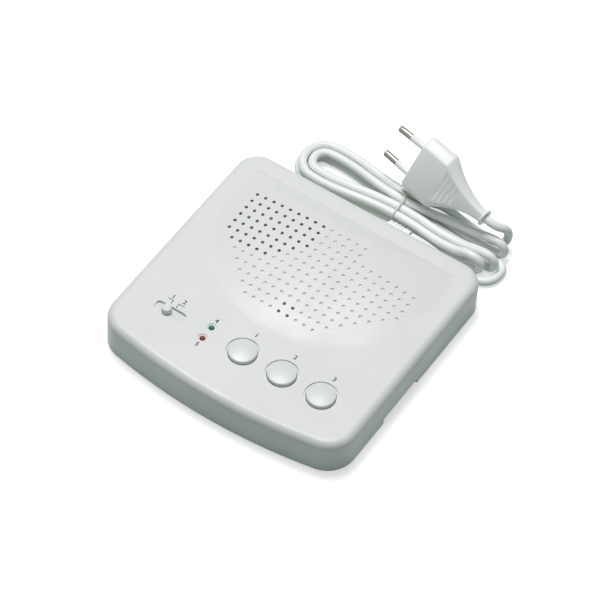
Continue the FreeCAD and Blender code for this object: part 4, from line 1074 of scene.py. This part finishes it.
def run_left(column, row, layer):
    """Points of one run from the right end through the waist to the left loop."""
    z = LAYER_Z[layer]
    y_waist = WAIST_Y + (row - 1) * ROW_PITCH
    y_left = LEFT_Y + (1 if row > 2 else -1) * LEFT_RADII[row in INNER_ROWS]
    near, waist_in, waist_out, far = RUN_X[layer]
    points = [(waist_in, y_waist, z), (waist_out, y_waist, z), (far, y_left, z)]
    if column is not None:
        points.insert(0, (near, RIGHT_Y + column * ROW_PITCH + layer * RISE[1], z))
    return points


def right_loop(column):
    """Points of a turn on edge at the right end, from the low layer up and back."""
    x, y = RIGHT_X[column], RIGHT_Y + column * ROW_PITCH
    middle = LAYER_Z[0] + RIGHT_RADIUS
    r = RIGHT_RADIUS / math.cos(math.radians(TURN_STEP / 2))
    points = [(x + r * math.cos(a), y, middle + r * math.sin(a)) for a in turn_angles(-90, 180)]
    return points + [(x - HUMP_BACK, y, middle + RIGHT_RADIUS), (RISE[0], y + RISE[1], RISE[2])]


def cord_points():
    """The lead, the hank's four passes and the tail, as control points of one spline."""
    points = list(LEAD_POINTS)
    for (x, y), radius, start in ENTRY_TURNS:
        r = radius / math.cos(math.radians(TURN_STEP / 2))
        for a in turn_angles(start, 90):
            points.append((x + r * math.cos(a), y + r * math.sin(a), LAYER_Z[0]))
    for column_in, row_in, layer, row_out, column_out in WINDING:
        points += run_left(column_in, row_in, layer)
        points += left_loop(row_in, layer)
        back = run_left(column_out, row_out, layer)[::-1]
        points += back if column_out is not None else back[:2]
        if column_out is not None:
            turn = right_loop(column_out)
            points += turn if layer == 0 else turn[::-1]
    return points + list(TAIL_POINTS)


class STATION_OT_cord(PieceOperator):
    """Mains lead, wound into its tied hank"""

    bl_idname = "station.cord"
    bl_label = "Mains Lead"

    def build(self, sizes, paints):
        cord = spline_curve("mains_lead", cord_points(), sizes.cord_diameter / 2)
        finish_piece(cord, paints["cord"], replaced=["cord_lead", "cord_hank"])


class STATION_OT_boot(PieceOperator):
    """Ribbed sleeve that guards the lead where it leaves the wall"""

    bl_idname = "station.boot"
    bl_label = "Cord Boot"

    def build(self, sizes, paints):
        profile = list(BOOT_ROOT)
        rise, top, end = RIB_EDGES
        for i in range(RIBS):
            start = RIB_START + RIB_PITCH * i
            r = RIB_RADIUS - RIB_TAPER * i
            low = r - RIB_DEEP
            profile += [(low, start), (low, start + rise), (r, start + top), (r, start + end)]
        boot = turned("cord_boot", profile + list(BOOT_MOUTH), 36)
        place(boot, Matrix.Rotation(math.radians(90), 4, "Y"))
        make_active(boot)
        path = spline_curve("boot_path", BOOT_PATH, 0.0)
        bend = boot.modifiers.new("Bend", "CURVE")
        bend.object = path
        bend.deform_axis = "POS_X"
        apply_modifier(boot, bend)
        bpy.data.objects.remove(path)
        smooth(boot, 40.0)
        finish_piece(boot, paints["cord"], replaced=["strain_relief"])


class STATION_OT_tie(PieceOperator):
    """Thin coated wire that ties the hank at its waist"""

    bl_idname = "station.tie"
    bl_label = "Wire Tie"

    def build(self, sizes, paints):
        tie = as_mesh(spline_curve("wire_tie", TIE_POINTS, TIE_RADIUS * MM))
        smooth(tie, 60.0)
        finish_piece(tie, paints["tie"], replaced=["cord_tie"])


def plug_matrix():
    """From the upright build frame, pins down and tail up, to the plug's place."""
    turn = Matrix.Identity(4)
    for axis, degrees in PLUG_TURN:
        turn = turn @ Matrix.Rotation(math.radians(degrees), 4, axis)
    upright = Matrix(((0, 0, 1, 0), (1, 0, 0, 0), (0, 1, 0, 0), (0, 0, 0, 1)))
    return Matrix.Translation([c * MM for c in PLUG_AT]) @ turn @ upright


def grown(start, steps):
    """Extrudes the selected face up through (height, width scale, thickness scale) steps."""
    z0, w0, t0 = start
    for z, w, t in steps:
        bpy.ops.mesh.extrude_region_move(TRANSFORM_OT_translate={"value": (0, 0, (z - z0) * MM)})
        bpy.ops.transform.resize(value=(w / w0, t / t0, 1), center_override=(0, 0, z * MM))
        z0, w0, t0 = z, w, t


class STATION_OT_plug(PieceOperator):
    """Flat two-pin plug with its drawn-in tail, grip grooves, contacts and collars"""

    bl_idname = "station.plug"
    bl_label = "Plug"

    def build(self, sizes, paints):
        clear_selection()
        bpy.ops.mesh.primitive_plane_add(size=1)
        plug = new_piece("mains_plug")
        plug.scale = (PLUG_WIDTH * PLUG_FACE[0] * MM, PLUG_THICK * PLUG_FACE[1] * MM, 1)
        apply_place()
        bpy.ops.object.mode_set(mode="EDIT")
        bpy.ops.mesh.select_all(action="SELECT")
        bpy.ops.mesh.bevel(affect="VERTICES", offset=PLUG_CORNER * MM, segments=1)
        bpy.ops.mesh.select_all(action="SELECT")
        grown((0.0,) + PLUG_FACE, self.steps())
        face_outwards()
        soften(plug, 0.9, 3, 24.0)
        flange = [(r, TAIL_END + z) for r, z in FLANGE_SECTION]
        carve(plug, turned("flange", flange, 48), "UNION")
        carve(plug, joined("grooves", self.grooves()))
        smooth(plug, 28.0)
        place(plug, plug_matrix())
        finish_piece(plug, paints["plug"], replaced=["plug_body"])
        self.contacts(paints)

    def steps(self):
        """Height, width scale and thickness scale of each step of the block and its tail."""
        neck_w, neck_t = (2 * PLUG_NECK / across for across in (PLUG_WIDTH, PLUG_THICK))
        power_w, power_t = TAIL_POWERS
        steps = [(PLUG_FACE_DEEP, 1.0, 1.0), (PLUG_BLOCK, 1.0, 1.0)]
        for i in range(1, TAIL_STEPS + 1):
            u = i / TAIL_STEPS
            steps.append((
                PLUG_BLOCK + (TAIL_END - PLUG_BLOCK) * u,
                neck_w + (1 - neck_w) * (1 - u) ** power_w,
                neck_t + (1 - neck_t) * (1 - u) ** power_t,
            ))
        return steps

    def grooves(self):
        """Bars that cut the grip grooves into both broad faces."""
        deep, wide = GROOVE_SIZE
        bars = []
        for side in (-1, 1):
            for i in range(GROOVES):
                clear_selection()
                z = PLUG_BLOCK + GROOVE_START + GROOVE_PITCH * i
                y = side * (PLUG_THICK / 2 * (1 - SKIN_FALL * i) + 1.0)
                bpy.ops.mesh.primitive_cube_add(size=1, location=(0, y * MM, z * MM))
                bar = bpy.context.object
                bar.scale = ((GROOVE_LENGTH - GROOVE_SHORTER * i) * MM, deep * MM, wide * MM)
                apply_place()
                soften(bar, 0.3, 2)
                bars.append(bar)
        return bars

    def contacts(self, paints):
        """The two nickel contacts and the collars round their roots."""
        for name, profile, slot, node in (
            ("plug_contacts", CONTACT_SECTION, "pin", "plug_pins"),
            ("pin_collars", COLLAR_SECTION, "sleeve", "plug_sleeves"),
        ):
            pair = []
            for side in (-1, 1):
                root = Vector((side * PIN_BASE / 2, 0, 0))
                tip = Vector((side * PIN_TIP / 2, 0, -PIN_LENGTH))
                piece = turned(name, profile, 40)
                lean = (tip - root).to_track_quat("Z", "Y").to_matrix().to_4x4()
                place(piece, plug_matrix() @ Matrix.Translation(root * MM) @ lean)
                pair.append(piece)
            piece = joined(name, pair)
            smooth(piece, 40.0)
            finish_piece(piece, paints[slot], replaced=[node])


class STATION_OT_finishes(PieceOperator):
    """Materials for the carried-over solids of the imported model"""

    bl_idname = "station.finishes"
    bl_label = "Finishes"

    def build(self, sizes, paints):
        for part in frame["record"]["subparts"]:
            node = frame["nodes"][part["node"]]
            material = paints[part["material_slot"]]
            if not node.material_slots:
                node.data.materials.append(material)
            for slot in node.material_slots:
                slot.material = material


class STATION_OT_stage(bpy.types.Operator):
    """Pale floor, soft lamp, world and the camera"""

    bl_idname = "station.stage"
    bl_label = "Stage"
    bl_options = {"REGISTER", "UNDO"}

    def execute(self, context):
        clear_selection()
        bpy.ops.mesh.primitive_plane_add(size=FLOOR_SIZE, location=(0, 0, 0))
        floor = bpy.context.object
        floor.name = "floor"
        floor.data.materials.append(self.floor_material())
        self.world(context.scene)
        self.key_light(context.scene)
        self.camera(context.scene)
        context.scene.view_settings.view_transform = "Standard"
        return {"FINISHED"}

    def seen_directly(self, tree):
        """1 for rays from the camera, and through glass and gloss, and 0 for the rest."""
        path = tree.nodes.new("ShaderNodeLightPath")
        seen = math_node(tree, "MAXIMUM", path.outputs["Is Camera Ray"], path.outputs["Is Glossy Ray"])
        return math_node(tree, "MAXIMUM", seen, path.outputs["Is Transmission Ray"])

    def floor_material(self):
        """Pale floor: white to the camera, and greenish in the light that it throws back."""
        material = bpy.data.materials.new("pale floor")
        material.use_nodes = True
        tree = material.node_tree
        shader = tree.nodes["Principled BSDF"]
        shader.inputs["Roughness"].default_value = 0.9
        shader.inputs["Specular IOR Level"].default_value = 0.0
        mix = tree.nodes.new("ShaderNodeMix")
        mix.data_type = "RGBA"
        mix.inputs[6].default_value = FLOOR_UNSEEN
        mix.inputs[7].default_value = FLOOR_SEEN
        seen = self.seen_directly(tree)
        tree.links.new(seen, mix.inputs["Factor"])
        tree.links.new(mix.outputs[2], shader.inputs["Base Color"])
        shader.inputs["Emission Color"].default_value = (1, 1, 1, 1)
        glow = math_node(tree, "MULTIPLY", seen, FLOOR_GLOW)
        tree.links.new(glow, shader.inputs["Emission Strength"])
        return material

    def world(self, scene):
        """White to the camera, and dim in the light that it gives."""
        world = bpy.data.worlds.new("pale room")
        scene.world = world
        world.use_nodes = True
        tree = world.node_tree
        background = tree.nodes["Background"]
        background.inputs["Color"].default_value = ROOM_COLOUR
        strength = math_node(tree, "MULTIPLY", self.seen_directly(tree), ROOM_SEEN)
        strength = math_node(tree, "ADD", strength, ROOM_UNSEEN)
        tree.links.new(strength, background.inputs["Strength"])

    def key_light(self, scene):
        """One soft lamp above and behind, turned to the object."""
        data = bpy.data.lights.new("key_light", "AREA")
        data.size = KEY_LIGHT_SIZE
        data.energy = KEY_LIGHT_POWER
        data.color = KEY_LIGHT_COLOUR
        light = bpy.data.objects.new("key_light", data)
        light.location = KEY_LIGHT_AT
        light.rotation_euler = (-Vector(KEY_LIGHT_AT)).to_track_quat("-Z", "Y").to_euler()
        scene.collection.objects.link(light)

    def camera(self, scene):
        """The camera at the photograph's place and angle."""
        data = bpy.data.cameras.new("camera")
        data.lens = CAMERA_LENS
        data.sensor_width = CAMERA_SENSOR
        data.clip_start = 0.05
        data.clip_end = 20.0
        camera = bpy.data.objects.new("camera", data)
        columns = [Vector(v).normalized() for v in (CAMERA_RIGHT, CAMERA_UP, CAMERA_BACK)]
        turn = Matrix((columns[0], columns[1], columns[2])).transposed().to_4x4()
        camera.matrix_world = Matrix.Translation(CAMERA_AT) @ turn
        scene.collection.objects.link(camera)
        scene.camera = camera


PIECES = (
    STATION_OT_cover, STATION_OT_keys, STATION_OT_slide, STATION_OT_lamps, STATION_OT_marks,
    STATION_OT_boot, STATION_OT_tie, STATION_OT_plug, STATION_OT_cord, STATION_OT_finishes,
    STATION_OT_stage,
)


class STATION_PT_panel(bpy.types.Panel):
    """Lists the station's operators"""

    bl_label = "Intercom Station"
    bl_idname = "STATION_PT_panel"
    bl_space_type = "VIEW_3D"
    bl_region_type = "UI"
    bl_category = "Station"

    def draw(self, context):
        for operator in PIECES:
            self.layout.operator(operator.bl_idname)
        for group in (context.scene.station_sizes, context.scene.station_colours):
            for name in group.__annotations__:
                self.layout.prop(group, name)


CLASSES = (StationSizes, StationColours) + PIECES + (STATION_PT_panel,)


def register():
    for cls in CLASSES:
        bpy.utils.register_class(cls)
    bpy.types.Scene.station_sizes = bpy.props.PointerProperty(type=StationSizes)
    bpy.types.Scene.station_colours = bpy.props.PointerProperty(type=StationColours)


def unregister():
    del bpy.types.Scene.station_colours
    del bpy.types.Scene.station_sizes
    for cls in reversed(CLASSES):
        bpy.utils.unregister_class(cls)


def main():
    register()
    for operator in PIECES:
        group, name = operator.bl_idname.split(".")
        getattr(getattr(bpy.ops, group), name)()


if __name__ == "__main__":
    main()
